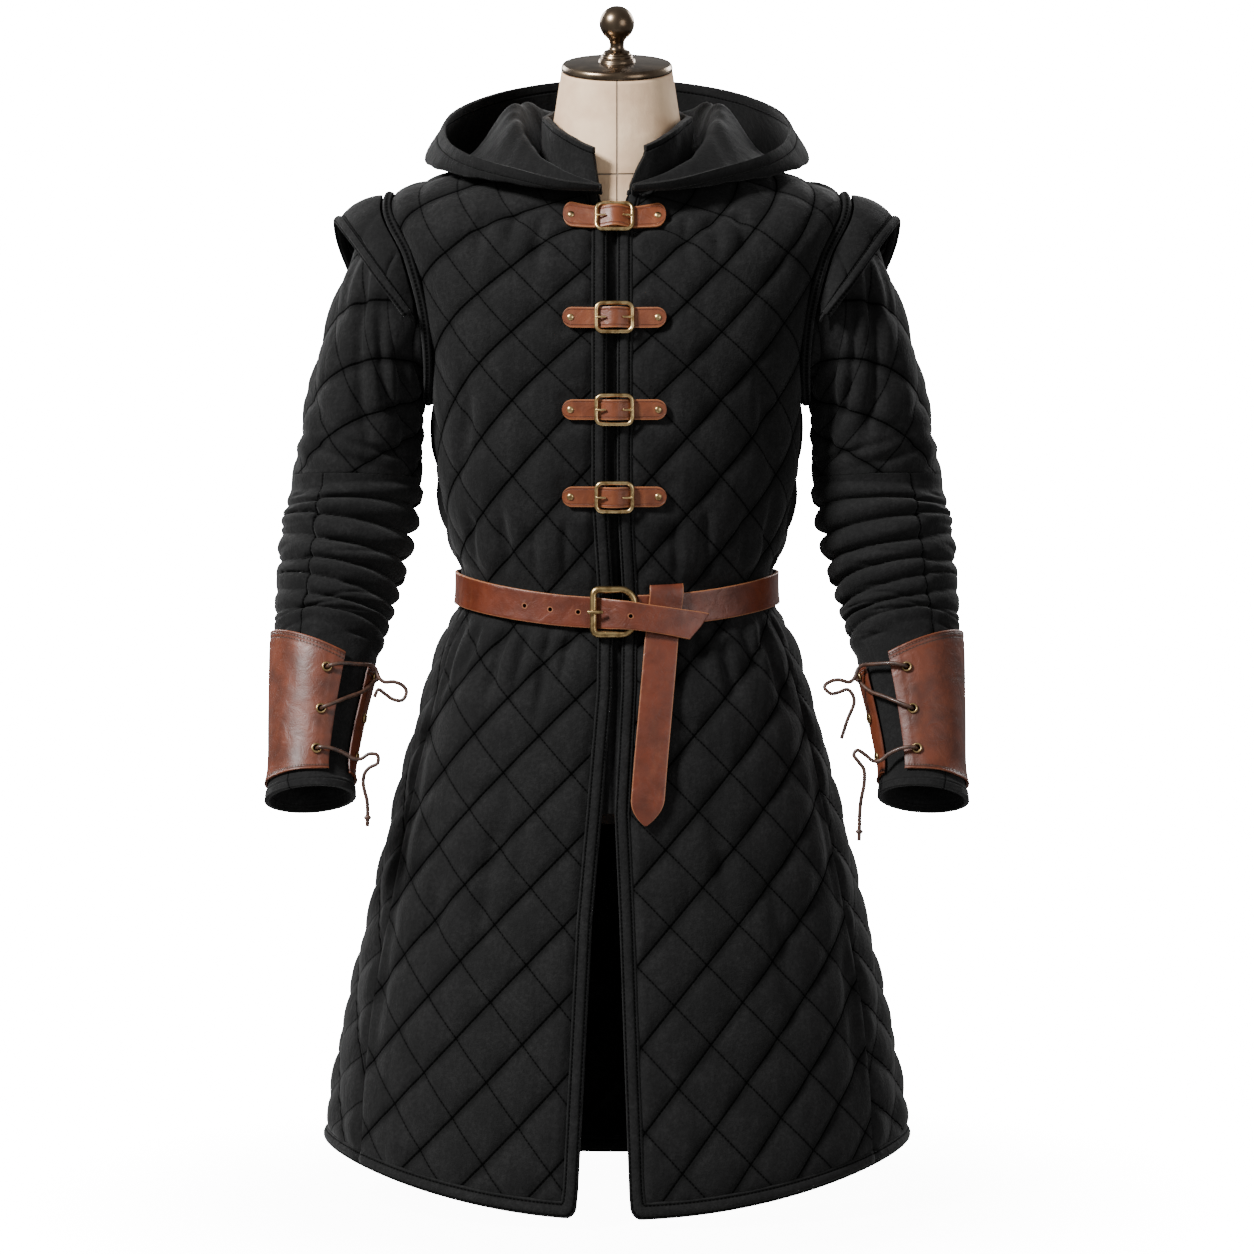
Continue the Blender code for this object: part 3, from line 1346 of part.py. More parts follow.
def tab(name, height, out, start, end, round_start, round_end):
    """A leather tab across the front between two lengths from the buckle's middle."""
    radius = TAB_HALF_HEIGHT
    stations = []
    if round_start:
        stations += [(start + radius * (1 - math.cos(math.radians(a))), math.sin(math.radians(a))) for a in (22, 45, 68)]
        start += radius
    if round_end:
        end -= radius
    stations += [(length, 1.0) for length in tab_lengths(start, end)]
    if round_end:
        stations += [(end + radius * math.sin(math.radians(a)), math.cos(math.radians(a))) for a in (22, 45, 68)]
    outer, inner = [], []
    for length, share in stations:
        rise = float(np.interp(length, [r[0] for r in TAB_RISE], [r[1] for r in TAB_RISE]))
        half = max(share, 0.25) * TAB_HALF_HEIGHT
        lists = [], []
        for up in (-half, 0.0, half):
            row = row_at_height(height + up)
            spot = CLOSURE_MIDDLE + length
            lists[0].append(body_point(spot, row, out + rise + TAB_THICKNESS))
            lists[1].append(body_point(spot, row, out + rise))
        outer.append(lists[0])
        inner.append(lists[1])
    return grid_solid(name, BROWN_LEATHER, outer, inner)


def make_closures():
    for number, (height, lift) in enumerate(CLOSURES, 1):
        row = row_at_height(height)
        pieces = {
            "right": (tab(f"closure_{number}_tab_right", height, lift, -TAB_END, 0.0180, True, False), -1),
            "left": (tab(f"closure_{number}_tab_left", height, lift, 0.0184, TAB_END, False, True), 1),
        }
        for word, (piece, side) in pieces.items():
            length = CLOSURE_MIDDLE + side * (TAB_END - RIVET_IN)
            spot = body_point(length, row, lift + TAB_THICKNESS - 0.0002)
            out = unit(body_point(length, row, 0.01) - body_point(length, row))
            head = primitive(
                "rivet", OLD_BRASS, bpy.ops.mesh.primitive_uv_sphere_add, turned_to(out), spot, (1, 1, 0.55),
                segments=7, ring_count=4, radius=0.0038,
            )
            combine(piece, head, "UNION")
        out = unit(body_point(CLOSURE_MIDDLE, row, 0.01) - body_point(CLOSURE_MIDDLE, row))
        spot = body_point(CLOSURE_MIDDLE, row, lift + TAB_THICKNESS + 0.0008 + BUCKLE_WIRE)
        turn = turned_to(out)
        loop = rounded_loop(BUCKLE_HALF_WIDTH, BUCKLE_HALF_HEIGHT, BUCKLE_CORNER, 3)
        frame = tube("frame", OLD_BRASS, [(x, y, 0) for x, y in loop], BUCKLE_WIRE, 0, True)
        frame.matrix_world = Matrix.Translation(spot) @ turn.to_4x4()
        frame = as_mesh(frame)
        frame.name = frame.data.name = f"closure_{number}_buckle"
        for side in (-1, 1):
            prong = primitive(
                "prong", OLD_BRASS, bpy.ops.mesh.primitive_cone_add,
                turn @ Matrix.Rotation(math.radians(-side * 82), 3, "Y"),
                Vector(spot) + turn @ Vector((side * 0.0140, 0, 0.0008 + BUCKLE_WIRE * 0.9)),
                vertices=6, radius1=0.0013, radius2=0.0010, depth=0.0110,
            )
            combine(frame, prong, "UNION")


BELT_THICKNESS = 0.0034
BELT_OUT = 0.0038
BELT_BUCKLE_MIDDLE = -0.0030
# length round from the front, row and how far out the strap's underside is, from the laced-in end to the fold
BELT_FRONT = (
    (-0.115, 7.50, BELT_OUT),
    (-0.090, 7.49, BELT_OUT),
    (-0.060, 7.47, BELT_OUT),
    (-0.030, 7.45, BELT_OUT),
    (-0.020, 7.44, BELT_OUT + 0.0006),
    (-0.010, 7.42, BELT_OUT + 0.0050),
    (0.002, 7.40, BELT_OUT + 0.0105),
    (0.014, 7.37, BELT_OUT + 0.0130),
    (0.026, 7.33, BELT_OUT + 0.0128),
    (0.040, 7.27, BELT_OUT + 0.0118),
    (0.060, 7.16, BELT_OUT + 0.0112),
    (0.078, 7.05, BELT_OUT + 0.0104),
)
BELT_HOLES = (-0.0965, -0.0690, -0.0400, 0.0140)
BELT_HOLE_RADIUS = 0.0022
# the hanging end: across, height and how far out its underside is
TAIL = (
    (0.0512, 0.6690, 0.0042),
    (0.0510, 0.6660, 0.0070),
    (0.0508, 0.6610, 0.0086),
    (0.0490, 0.6400, 0.0088),
    (0.0462, 0.6120, 0.0086),
    (0.0425, 0.5700, 0.0088),
    (0.0385, 0.5250, 0.0090),
    (0.0345, 0.4800, 0.0090),
    (0.0318, 0.4450, 0.0090),
)
TAIL_TIP = (0.0295, 0.4170, 0.0085)
TAIL_HALF_WIDTH = 0.0162


def strap(name, stations):
    """A strap with square edges. Each station is four corners: inner low, inner high, outer high, outer low."""
    return capped_loft(name, BROWN_LEATHER, stations, 12)


def make_belt():
    girth = 2 * half_girth(BELT_ROW)
    round_back = [(length, BELT_ROW, BELT_OUT) for length in spaced(0.0215, girth - 0.138, 0.029)]
    front = [(length + girth, row, out) for length, row, out in BELT_FRONT]
    stations = []
    for length, row, out in round_back + front:
        length = (length + girth / 2) % girth - girth / 2
        low, high = row - BELT_ROWS_HALF, row + BELT_ROWS_HALF
        corners = []
        for at, outs in ((low, out), (high, out), (high, out + BELT_THICKNESS), (low, out + BELT_THICKNESS)):
            around = length
            if length + 0.1 > 0 and out > BELT_OUT + 0.002:
                around = length + (0.012 if at == high else -0.004) * min(1, max(0, length - 0.03) / 0.04)
            share = around / half_girth(BELT_ROW) * half_girth(at)
            corners.append(body_point(share, at, outs))
        stations.append(corners)
    belt = strap("belt", stations)
    for length in BELT_HOLES:
        row = float(np.interp(length, [r[0] for r in BELT_FRONT], [r[1] for r in BELT_FRONT]))
        out = float(np.interp(length, [r[0] for r in BELT_FRONT], [r[2] for r in BELT_FRONT]))
        spot = body_point(length, row, out + BELT_THICKNESS / 2)
        direction = unit(body_point(length, row, 0.01) - body_point(length, row))
        hole = primitive(
            "hole", BROWN_LEATHER, bpy.ops.mesh.primitive_cylinder_add, turned_to(direction), spot,
            vertices=8, radius=BELT_HOLE_RADIUS, depth=0.0055,
        )
        combine(belt, hole, "DIFFERENCE")

    stations = []
    for x, z, out in TAIL:
        corners = []
        for shift, outs in ((-1, out), (1, out), (1, out + BELT_THICKNESS), (-1, out + BELT_THICKNESS)):
            corners.append((x + shift * TAIL_HALF_WIDTH, z, outs))
        stations.append(corners)
    x, z, out = TAIL_TIP
    stations.append([(x + s * 0.0035, z, o) for s, o in ((-1, out), (1, out), (1, out + BELT_THICKNESS), (-1, out + BELT_THICKNESS))])
    placed = []
    for corners in stations:
        ring = []
        for x, z, out in corners:
            ring.append(body_point(x, row_at_height(z), out))
        placed.append(ring)
    strap("belt_tail", placed)

    row = BELT_ROW - 0.02
    out = unit(body_point(0.0, row, 0.01) - body_point(0.0, row))
    spot = body_point(BELT_BUCKLE_MIDDLE, row, BELT_OUT + BELT_THICKNESS + 0.0044)
    turn = turned_to(out)
    half_width, half_height, corner = 0.0215, 0.0235, 0.0150
    loop = [(-half_width, -half_height + 0.006), (-half_width, 0), (-half_width, half_height - 0.006)]
    loop += [(-half_width + 0.002, half_height - 0.0015), (-half_width + 0.007, half_height)]
    for angle in (90, 60, 30, 0, -30, -60, -90):
        turn_angle = math.radians(angle)
        loop.append(
            (
                half_width - corner + corner * math.cos(turn_angle),
                (half_height - corner) * math.copysign(1, angle) * (1 if angle else 0)
                + corner * math.sin(turn_angle),
            )
        )
    loop += [(-half_width + 0.007, -half_height), (-half_width + 0.002, -half_height + 0.0015)]
    frame = tube("belt_buckle", OLD_BRASS, [(x, y, 0) for x, y in loop], 0.0038, 1, True)
    frame.matrix_world = Matrix.Translation(spot) @ turn.to_4x4()
    at = Vector(spot) + turn @ Vector((-0.0195, 0, 0.0060))
    primitive(
        "belt_prong", OLD_BRASS, bpy.ops.mesh.primitive_cone_add,
        turn @ Matrix.Rotation(math.radians(84), 3, "Y"), at,
        vertices=8, radius1=0.0020, radius2=0.0017, depth=0.0170,
    )


make_form()
make_fronts()
make_back()
make_bindings()
make_collar()
make_hood()
make_sleeves()
make_wings()
make_bracers()
make_laces()
make_closures()
make_belt()
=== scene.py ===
import math

import bpy
import numpy as np
from mathutils import Matrix, Vector


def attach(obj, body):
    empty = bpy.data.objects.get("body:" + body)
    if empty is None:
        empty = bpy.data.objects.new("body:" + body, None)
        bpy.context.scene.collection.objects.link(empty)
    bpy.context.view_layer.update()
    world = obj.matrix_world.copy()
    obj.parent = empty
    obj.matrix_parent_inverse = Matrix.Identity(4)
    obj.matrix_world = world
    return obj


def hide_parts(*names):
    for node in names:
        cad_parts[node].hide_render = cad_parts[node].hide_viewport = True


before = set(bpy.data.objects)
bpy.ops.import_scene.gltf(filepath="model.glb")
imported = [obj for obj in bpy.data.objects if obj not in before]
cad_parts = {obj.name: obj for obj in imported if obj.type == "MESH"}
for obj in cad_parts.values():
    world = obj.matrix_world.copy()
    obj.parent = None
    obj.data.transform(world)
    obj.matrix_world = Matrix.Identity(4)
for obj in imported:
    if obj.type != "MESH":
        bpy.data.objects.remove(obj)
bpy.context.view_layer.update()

# ---------------------------------------------------------------------------------------------------------------
# Camera, floor and light
# A long lens at chest height, 6 m in front of the coat. One soft lamp high to the camera's left does most of the
# work, two behind light the edges, and the room is a white sweep.

bpy.ops.object.select_all(action="DESELECT")
bpy.ops.object.camera_add(location=(0.0107, -6.0, 1.045))
camera = bpy.context.object
aim = Vector((0.0107, 0, 0.615))
camera.rotation_euler = (aim - camera.location).to_track_quat("-Z", "Y").to_euler()
camera.data.lens = 161
camera.data.sensor_width = 36
camera.data.clip_end = 200
bpy.context.scene.camera = camera

bpy.ops.mesh.primitive_circle_add(vertices=96, radius=2.2, fill_type="NGON", location=(0, 0, -0.0005))
floor = bpy.context.object
floor.name = "floor"
paper = bpy.data.materials.new("white paper sweep")
paper.use_nodes = True
nodes, links = paper.node_tree.nodes, paper.node_tree.links
lit_paper = nodes["Principled BSDF"]
lit_paper.inputs["Base Color"].default_value = (0.45, 0.45, 0.45, 1)
lit_paper.inputs["Roughness"].default_value = 0.9
lit_paper.inputs["Emission Color"].default_value = (1, 1, 1, 1)
rays = nodes.new("ShaderNodeLightPath")
white = nodes.new("ShaderNodeMath")
white.operation = "MULTIPLY"
white.inputs[1].default_value = 12.0
links.new(rays.outputs["Is Camera Ray"], white.inputs[0])
links.new(white.outputs[0], lit_paper.inputs["Emission Strength"])
place = nodes.new("ShaderNodeTexCoord")
from_middle = nodes.new("ShaderNodeVectorMath")
from_middle.operation = "LENGTH"
fade = nodes.new("ShaderNodeMapRange")
fade.inputs["From Min"].default_value = 0.35
fade.inputs["From Max"].default_value = 1.3
clear = nodes.new("ShaderNodeBsdfTransparent")
both = nodes.new("ShaderNodeMixShader")
links.new(place.outputs["Object"], from_middle.inputs[0])
links.new(from_middle.outputs["Value"], fade.inputs["Value"])
links.new(fade.outputs["Result"], both.inputs[0])
links.new(lit_paper.outputs[0], both.inputs[1])
links.new(clear.outputs[0], both.inputs[2])
links.new(both.outputs[0], nodes["Material Output"].inputs["Surface"])
floor.data.materials.append(paper)

room = bpy.data.worlds.new("white room")
bpy.context.scene.world = room
room.use_nodes = True
nodes, links = room.node_tree.nodes, room.node_tree.links
nodes.clear()
rays = nodes.new("ShaderNodeLightPath")
both = nodes.new("ShaderNodeMixShader")
out = nodes.new("ShaderNodeOutputWorld")
links.new(rays.outputs["Is Camera Ray"], both.inputs[0])
for socket, strength in ((1, 0.26), (2, 24.0)):
    walls = nodes.new("ShaderNodeBackground")
    walls.inputs["Color"].default_value = (1, 1, 1, 1)
    walls.inputs["Strength"].default_value = strength
    links.new(walls.outputs[0], both.inputs[socket])
links.new(both.outputs[0], out.inputs[0])

for name, spot, size, power in (
    ("key", (-2.9, -2.3, 3.6), 0.9, 420),
    ("fill", (3.0, -3.6, 1.4), 2.4, 52),
    ("back_left", (-2.2, 2.8, 2.4), 1.5, 85),
    ("back_right", (2.2, 2.8, 2.4), 1.5, 85),
):
    bpy.ops.object.light_add(type="AREA", location=spot)
    lamp = bpy.context.object
    lamp.name = lamp.data.name = name
    lamp.rotation_euler = (Vector((0, 0, 0.7)) - lamp.location).to_track_quat("-Z", "Y").to_euler()
    lamp.data.size = size
    lamp.data.energy = power

# ---------------------------------------------------------------------------------------------------------------
# Laces
# Six round leather laces, 4.2 mm thick. Each starts in an eyelet of a bracer. The upper and lower ones make a loop
# and hang free, and the middle ones go back into an eyelet.


def noise(tree, scale, detail, stretch=None, roughness=0.5, distortion=0.0):
    """Soft patches of one size, on the piece's own coordinates, which may be stretched."""
    source = tree.nodes.new("ShaderNodeTexCoord").outputs["Object"]
    if stretch:
        mapping = tree.nodes.new("ShaderNodeMapping")
        mapping.inputs["Scale"].default_value = stretch
        tree.links.new(source, mapping.inputs["Vector"])
        source = mapping.outputs["Vector"]
    patches = tree.nodes.new("ShaderNodeTexNoise")
    patches.inputs["Scale"].default_value = scale
    patches.inputs["Detail"].default_value = detail
    patches.inputs["Roughness"].default_value = roughness
    patches.inputs["Distortion"].default_value = distortion
    tree.links.new(source, patches.inputs["Vector"])
    return patches.outputs["Fac"]


def mixed_colours(tree, low, high, scale, detail=4, low_at=0.35, high_at=0.65, stretch=None):
    """Two colours in soft patches of one size, and the patches' own values."""
    patches = noise(tree, scale, detail, stretch)
    ramp = tree.nodes.new("ShaderNodeValToRGB")
    for stop, at, colour in zip(ramp.color_ramp.elements, (low_at, high_at), (low, high)):
        stop.position = at
        stop.color = (*colour, 1)
    tree.links.new(patches, ramp.inputs["Fac"])
    return ramp.outputs["Color"], patches


def add_bump(tree, height, distance, strength=1.0, under=None):
    """Relief of a real height in metres, on top of any that is there."""
    bump = tree.nodes.new("ShaderNodeBump")
    bump.inputs["Distance"].default_value = distance
    bump.inputs["Strength"].default_value = strength
    tree.links.new(height, bump.inputs["Height"])
    if under is not None:
        tree.links.new(under, bump.inputs["Normal"])
    return bump.outputs["Normal"]


def new_finish(name, roughness, metallic=0.0):
    """A material with its constants on the shader's own sockets."""
    finish = bpy.data.materials.new(name)
    finish.use_nodes = True
    shader = finish.node_tree.nodes["Principled BSDF"]
    shader.inputs["Roughness"].default_value = roughness
    shader.inputs["Metallic"].default_value = metallic
    return finish, finish.node_tree, shader


def patchy_finish(name, roughness, low, high, scale, relief, metallic=0.0, coat=0.0, **patches):
    """A finish in two colours. Its relief, a height and a strength, follows the same patches."""
    finish, tree, shader = new_finish(name, roughness, metallic)
    colour, heights = mixed_colours(tree, low, high, scale, **patches)
    tree.links.new(colour, shader.inputs["Base Color"])
    tree.links.new(add_bump(tree, heights, *relief), shader.inputs["Normal"])
    shader.inputs["Coat Weight"].default_value = coat
    return finish


lace_leather = patchy_finish(
    "lace leather", 0.48, (0.030, 0.013, 0.008), (0.080, 0.036, 0.022), 160, relief=(0.0004, 1.0), coat=0.12
)


def along_knots(knots):
    """Places on a smooth line through knots, three to each stretch."""
    with_ends = [knots[0] * 2 - knots[1]] + knots + [knots[-1] * 2 - knots[-2]]
    spots = []
    for before, start, stop, after in zip(with_ends, with_ends[1:], with_ends[2:], with_ends[3:]):
        for t in (0.0, 0.34, 0.67):
            bend = (start - stop) * 3 + after - before
            curve = (before * 2 - start * 5 + stop * 4 - after) * t**2 + bend * t**3
            spots.append(start + ((stop - before) * t + curve) * 0.5)
    return spots + [knots[-1]]


def tied_knot(name, at, radius=0.0037):
    """A small uneven knot near the end of a lace."""
    bpy.ops.object.select_all(action="DESELECT")
    bpy.ops.mesh.primitive_uv_sphere_add(segments=20, ring_count=12, radius=radius, location=at)
    knot = bpy.context.object
    knot.name = knot.data.name = name
    knot.scale = (1, 0.9, 0.8)
    bpy.ops.object.transform_apply(location=True, rotation=True, scale=True)
    for vertex in knot.data.vertices:
        turn = math.atan2(vertex.co.y - at.y, vertex.co.x - at.x)
        rise = (vertex.co.z - at.z) / radius
        swell = 1 + 0.10 * math.cos(turn * 2 + rise * 3)
        vertex.co.x = at.x + (vertex.co.x - at.x) * swell
        vertex.co.y = at.y + (vertex.co.y - at.y) * swell
    bpy.ops.object.shade_smooth()
    knot.data.materials.append(lace_leather)
    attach(knot, "root")
    return knot


middle_lace = (
    (0.3112, -0.1266, 0.5379), (0.3077, -0.1329, 0.5407), (0.2988, -0.1307, 0.5439), (0.2913, -0.1263, 0.5467),
    (0.2843, -0.1208, 0.5492), (0.2777, -0.1150, 0.5512), (0.2714, -0.1085, 0.5529), (0.2659, -0.1019, 0.5554),
    (0.2607, -0.0954, 0.5594), (0.2566, -0.0883, 0.5632), (0.2534, -0.0793, 0.5657), (0.2595, -0.0745, 0.5672),
)
# side, which lace and how its far end is, then the knots it runs through
laces = {
    ("left", "upper", "bare"): (
        (0.3055, -0.1123, 0.5807), (0.3016, -0.1187, 0.5834), (0.2918, -0.1167, 0.5851), (0.2832, -0.1131, 0.5849),
        (0.2750, -0.1081, 0.5837), (0.2674, -0.1017, 0.5828), (0.2603, -0.0943, 0.5814), (0.2546, -0.0914, 0.5770),
        (0.2510, -0.0944, 0.5678), (0.2448, -0.0963, 0.5635), (0.2348, -0.0959, 0.5660), (0.2252, -0.0967, 0.5642),
        (0.2190, -0.0986, 0.5586), (0.2259, -0.0999, 0.5516), (0.2348, -0.0993, 0.5532), (0.2437, -0.0985, 0.5561),
        (0.2496, -0.0999, 0.5489), (0.2502, -0.1007, 0.5404), (0.2464, -0.1009, 0.5311), (0.2427, -0.1010, 0.5219),
        (0.2399, -0.1010, 0.5129), (0.2370, -0.1010, 0.5040),
    ),
    ("left", "middle", "object"): middle_lace,
    ("left", "lower", "knot"): (
        (0.3152, -0.1403, 0.4972), (0.3110, -0.1467, 0.4996), (0.3013, -0.1456, 0.4987), (0.2926, -0.1430, 0.4956),
        (0.2845, -0.1404, 0.4909), (0.2769, -0.1379, 0.4845), (0.2692, -0.1369, 0.4838), (0.2615, -0.1374, 0.4899),
        (0.2528, -0.1385, 0.4954), (0.2487, -0.1398, 0.4903), (0.2540, -0.1401, 0.4829), (0.2593, -0.1400, 0.4753),
        (0.2600, -0.1400, 0.4657), (0.2592, -0.1397, 0.4564), (0.2572, -0.1393, 0.4471), (0.2558, -0.1390, 0.4377),
        (0.2551, -0.1389, 0.4283), (0.2549, -0.1389, 0.4189), (0.2547, -0.1390, 0.4094), (0.2545, -0.1390, 0.4000),
    ),
    ("right", "upper", "bare"): (
        (-0.3055, -0.1123, 0.5807), (-0.3016, -0.1187, 0.5833), (-0.2920, -0.1168, 0.5851),
        (-0.2833, -0.1132, 0.5849), (-0.2752, -0.1082, 0.5837), (-0.2676, -0.1020, 0.5828),
        (-0.2606, -0.0946, 0.5815), (-0.2548, -0.0913, 0.5773), (-0.2514, -0.0942, 0.5683),
        (-0.2451, -0.0962, 0.5635), (-0.2354, -0.0960, 0.5639), (-0.2258, -0.0973, 0.5598),
        (-0.2221, -0.0989, 0.5528), (-0.2266, -0.1001, 0.5447), (-0.2362, -0.1000, 0.5455),
        (-0.2448, -0.1000, 0.5514), (-0.2518, -0.1000, 0.5561), (-0.2560, -0.1000, 0.5480),
    ),
    ("right", "middle", "object"): tuple((-x, y, z) for x, y, z in middle_lace),
    ("right", "lower", "knot"): (
        (-0.3152, -0.1403, 0.4972), (-0.3112, -0.1467, 0.4996), (-0.3015, -0.1456, 0.4988),
        (-0.2930, -0.1431, 0.4957), (-0.2847, -0.1405, 0.4915), (-0.2769, -0.1379, 0.4863),
        (-0.2686, -0.1368, 0.4860), (-0.2600, -0.1375, 0.4914), (-0.2512, -0.1387, 0.4902),
        (-0.2510, -0.1399, 0.4816), (-0.2591, -0.1400, 0.4774), (-0.2647, -0.1400, 0.4708),
        (-0.2662, -0.1399, 0.4614), (-0.2648, -0.1395, 0.4522), (-0.2624, -0.1391, 0.4430),
        (-0.2617, -0.1389, 0.4337), (-0.2618, -0.1390, 0.4243), (-0.2620, -0.1390, 0.4150),
    ),
}
for (word, which, end), route in laces.items():
    knots = [Vector(spot) for spot in route]
    spots = along_knots(knots)
    line = bpy.data.curves.new(f"lace_{word}_{which}", "CURVE")
    line.dimensions = "3D"
    line.bevel_depth = 0.0021
    line.bevel_resolution = 3
    line.use_fill_caps = True
    spline = line.splines.new("POLY")
    spline.points.add(len(spots) - 1)
    for point, spot in zip(spline.points, spots):
        point.co = (*spot, 1)
    line.materials.append(lace_leather)
    lace = bpy.data.objects.new(line.name + ".cord", line)
    bpy.context.scene.collection.objects.link(lace)
    going = [tied_knot(f"lace_{word}_knot", knots[-2])] if end == "knot" else []
    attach(lace, "root")
    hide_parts(f"lace_{word}_{which}")
    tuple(spots[0])
    sum((b - a).length for a, b in zip(spots, spots[1:]))

# ---------------------------------------------------------------------------------------------------------------
# Dress form
# A limbless torso of stiffened linen on a wooden stand, closed by a turned bronze cap with a ball finial. Only the
# neck shows above the collar.


def smooth(knots, values, at):
    """Values at some places on a smooth curve through the rows of a table."""
    knots, values, at = np.asarray(knots, float), np.asarray(values, float), np.asarray(at, float)
    slopes = np.gradient(values, knots, axis=0)
    low = np.clip(np.searchsorted(knots, at, side="right") - 1, 0, len(knots) - 2)
    width = knots[low + 1] - knots[low]
    u = (np.clip(at, knots[0], knots[-1]) - knots[low]) / width
    shape = at.shape + (1,) * (values.ndim - 1)
    u, width = u.reshape(shape), width.reshape(shape)
    return (
        (1 + 2 * u) * (1 - u) ** 2 * values[low]
        + u * (1 - u) ** 2 * width * slopes[low]
        + u * u * (3 - 2 * u) * values[low + 1]
        + u * u * (u - 1) * width * slopes[low + 1]
    )


def mend(piece, merge=0.0, close=False, outwards=False):
    """Merge a piece's doubles, close its open ends and turn its faces outwards."""
    bpy.context.view_layer.objects.active = piece
    bpy.ops.object.mode_set(mode="EDIT")
    if merge:
        bpy.ops.mesh.select_all(action="SELECT")
        bpy.ops.mesh.remove_doubles(threshold=merge)
    if close:
        bpy.ops.mesh.select_all(action="DESELECT")
        bpy.ops.mesh.select_non_manifold()
        bpy.ops.mesh.edge_face_add()
    if outwards:
        bpy.ops.mesh.select_all(action="SELECT")
        bpy.ops.mesh.normals_make_consistent(inside=False)
    bpy.ops.object.mode_set(mode="OBJECT")


def grid_piece(name, finish, spots, flat=None, wrap=False, sharp=50):
    """A sheet through rows of places, from a grid. Faces look along (next column) x (next row).
    flat holds a place in the cut cloth, in metres, for each point, which the finish reads as its UV map."""
    rows, columns = spots.shape[:2]
    bpy.ops.object.select_all(action="DESELECT")
    bpy.ops.mesh.primitive_grid_add(x_subdivisions=columns - 1, y_subdivisions=rows - 1, size=1)
    piece = bpy.context.object
    piece.name = piece.data.name = name
    piece.data.vertices.foreach_set("co", np.ascontiguousarray(spots, dtype=np.float32).ravel())
    if flat is not None:
        corners = np.empty(len(piece.data.loops), dtype=np.int32)
        piece.data.loops.foreach_get("vertex_index", corners)
        laid = np.asarray(flat, dtype=np.float32).reshape(-1, 2)[corners]
        piece.data.uv_layers[0].data.foreach_set("uv", np.ascontiguousarray(laid).ravel())
    if wrap:
        mend(piece, merge=0.00001)
    piece.data.update()
    bpy.ops.object.shade_smooth_by_angle(angle=math.radians(sharp))
    piece.data.materials.append(finish)
    return piece


def give_thickness(piece, thickness, round_edge=0.0):
    """The sheet's other face and its rim, with the rim's corners rounded."""
    bpy.context.view_layer.objects.active = piece
    wall = piece.modifiers.new("wall", "SOLIDIFY")
    wall.thickness = thickness
    wall.offset = -1
    wall.use_even_offset = False
    bpy.ops.object.modifier_apply(modifier=wall.name)
    if round_edge:
        rim = piece.modifiers.new("rim", "BEVEL")
        rim.width = round_edge
        rim.segments = 2
        rim.limit_method = "ANGLE"
        rim.angle_limit = math.radians(62)
        bpy.ops.object.modifier_apply(modifier=rim.name)
    bpy.ops.object.select_all(action="DESELECT")
    piece.select_set(True)
    bpy.ops.object.shade_smooth_by_angle(angle=math.radians(55))


def settle(piece, slot, *nodes_replaced):
    """The piece is fixed to the part, and stands for its solids."""
    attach(piece, "root")
    if nodes_replaced:
        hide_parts(*nodes_replaced)


def node_tools(tree):
    """Ways to add one step to a finish: arithmetic, a mapped range and a mix of colours. A number or a colour is set
    on the step's own socket, and the output of another step is joined to it."""

    def put(socket, value):
        if isinstance(value, bpy.types.NodeSocket):
            tree.links.new(value, socket)
        else:
            socket.default_value = value

    def maths(operation, *values, clamp=False):
        step = tree.nodes.new("ShaderNodeMath")
        step.operation, step.use_clamp = operation, clamp
        for socket, value in zip(step.inputs, values):
            put(socket, value)
        return step.outputs[0]

    def ranged(value, start, end, to_start=0.0, to_end=1.0, kind="SMOOTHSTEP"):
        step = tree.nodes.new("ShaderNodeMapRange")
        step.interpolation_type = kind
        for key, number in zip(("From Min", "From Max", "To Min", "To Max"), (start, end, to_start, to_end)):
            step.inputs[key].default_value = number
        put(step.inputs["Value"], value)
        return step.outputs[0]

    def blend(amount, first, second, kind="MIX"):
        step = tree.nodes.new("ShaderNodeMix")
        step.data_type = "RGBA"
        step.blend_type = kind
        for key, value in (("Factor", amount), ("A", first), ("B", second)):
            put(step.inputs[key], value)
        return step.outputs["Result"]

    return maths, ranged, blend


linen, tree, shader = new_finish("linen", 0.82)
maths, ranged, blend = node_tools(tree)
colour, patches = mixed_colours(tree, (0.70, 0.460, 0.282), (0.95, 0.690, 0.450), 24, 10, 0.34, 0.66)
threads = tree.nodes.new("ShaderNodeTexWave")
threads.inputs["Scale"].default_value = 260
threads.inputs["Distortion"].default_value = 3
place = tree.nodes.new("ShaderNodeTexCoord")
tree.links.new(place.outputs["Object"], threads.inputs["Vector"])
apart = tree.nodes.new("ShaderNodeSeparateXYZ")
tree.links.new(place.outputs["Object"], apart.inputs[0])
# a seam down the middle of the front, and one round the neck
seams = [
    ranged(maths("ABSOLUTE", maths("SUBTRACT", apart.outputs[axis], at)), 0.0003, 0.0012, kind="LINEAR")
    for axis, at in (("X", 0.0004), ("Z", 1.0985))
]
off_seams = maths("MULTIPLY", *seams)
tree.links.new(blend(off_seams, (0.20, 0.15, 0.11, 1), colour), shader.inputs["Base Color"])
rough = add_bump(tree, threads.outputs["Fac"], 0.0002, 0.6)
rough = add_bump(tree, patches, 0.003, 0.8, rough)
tree.links.new(add_bump(tree, off_seams, 0.0008, 1.0, rough), shader.inputs["Normal"])

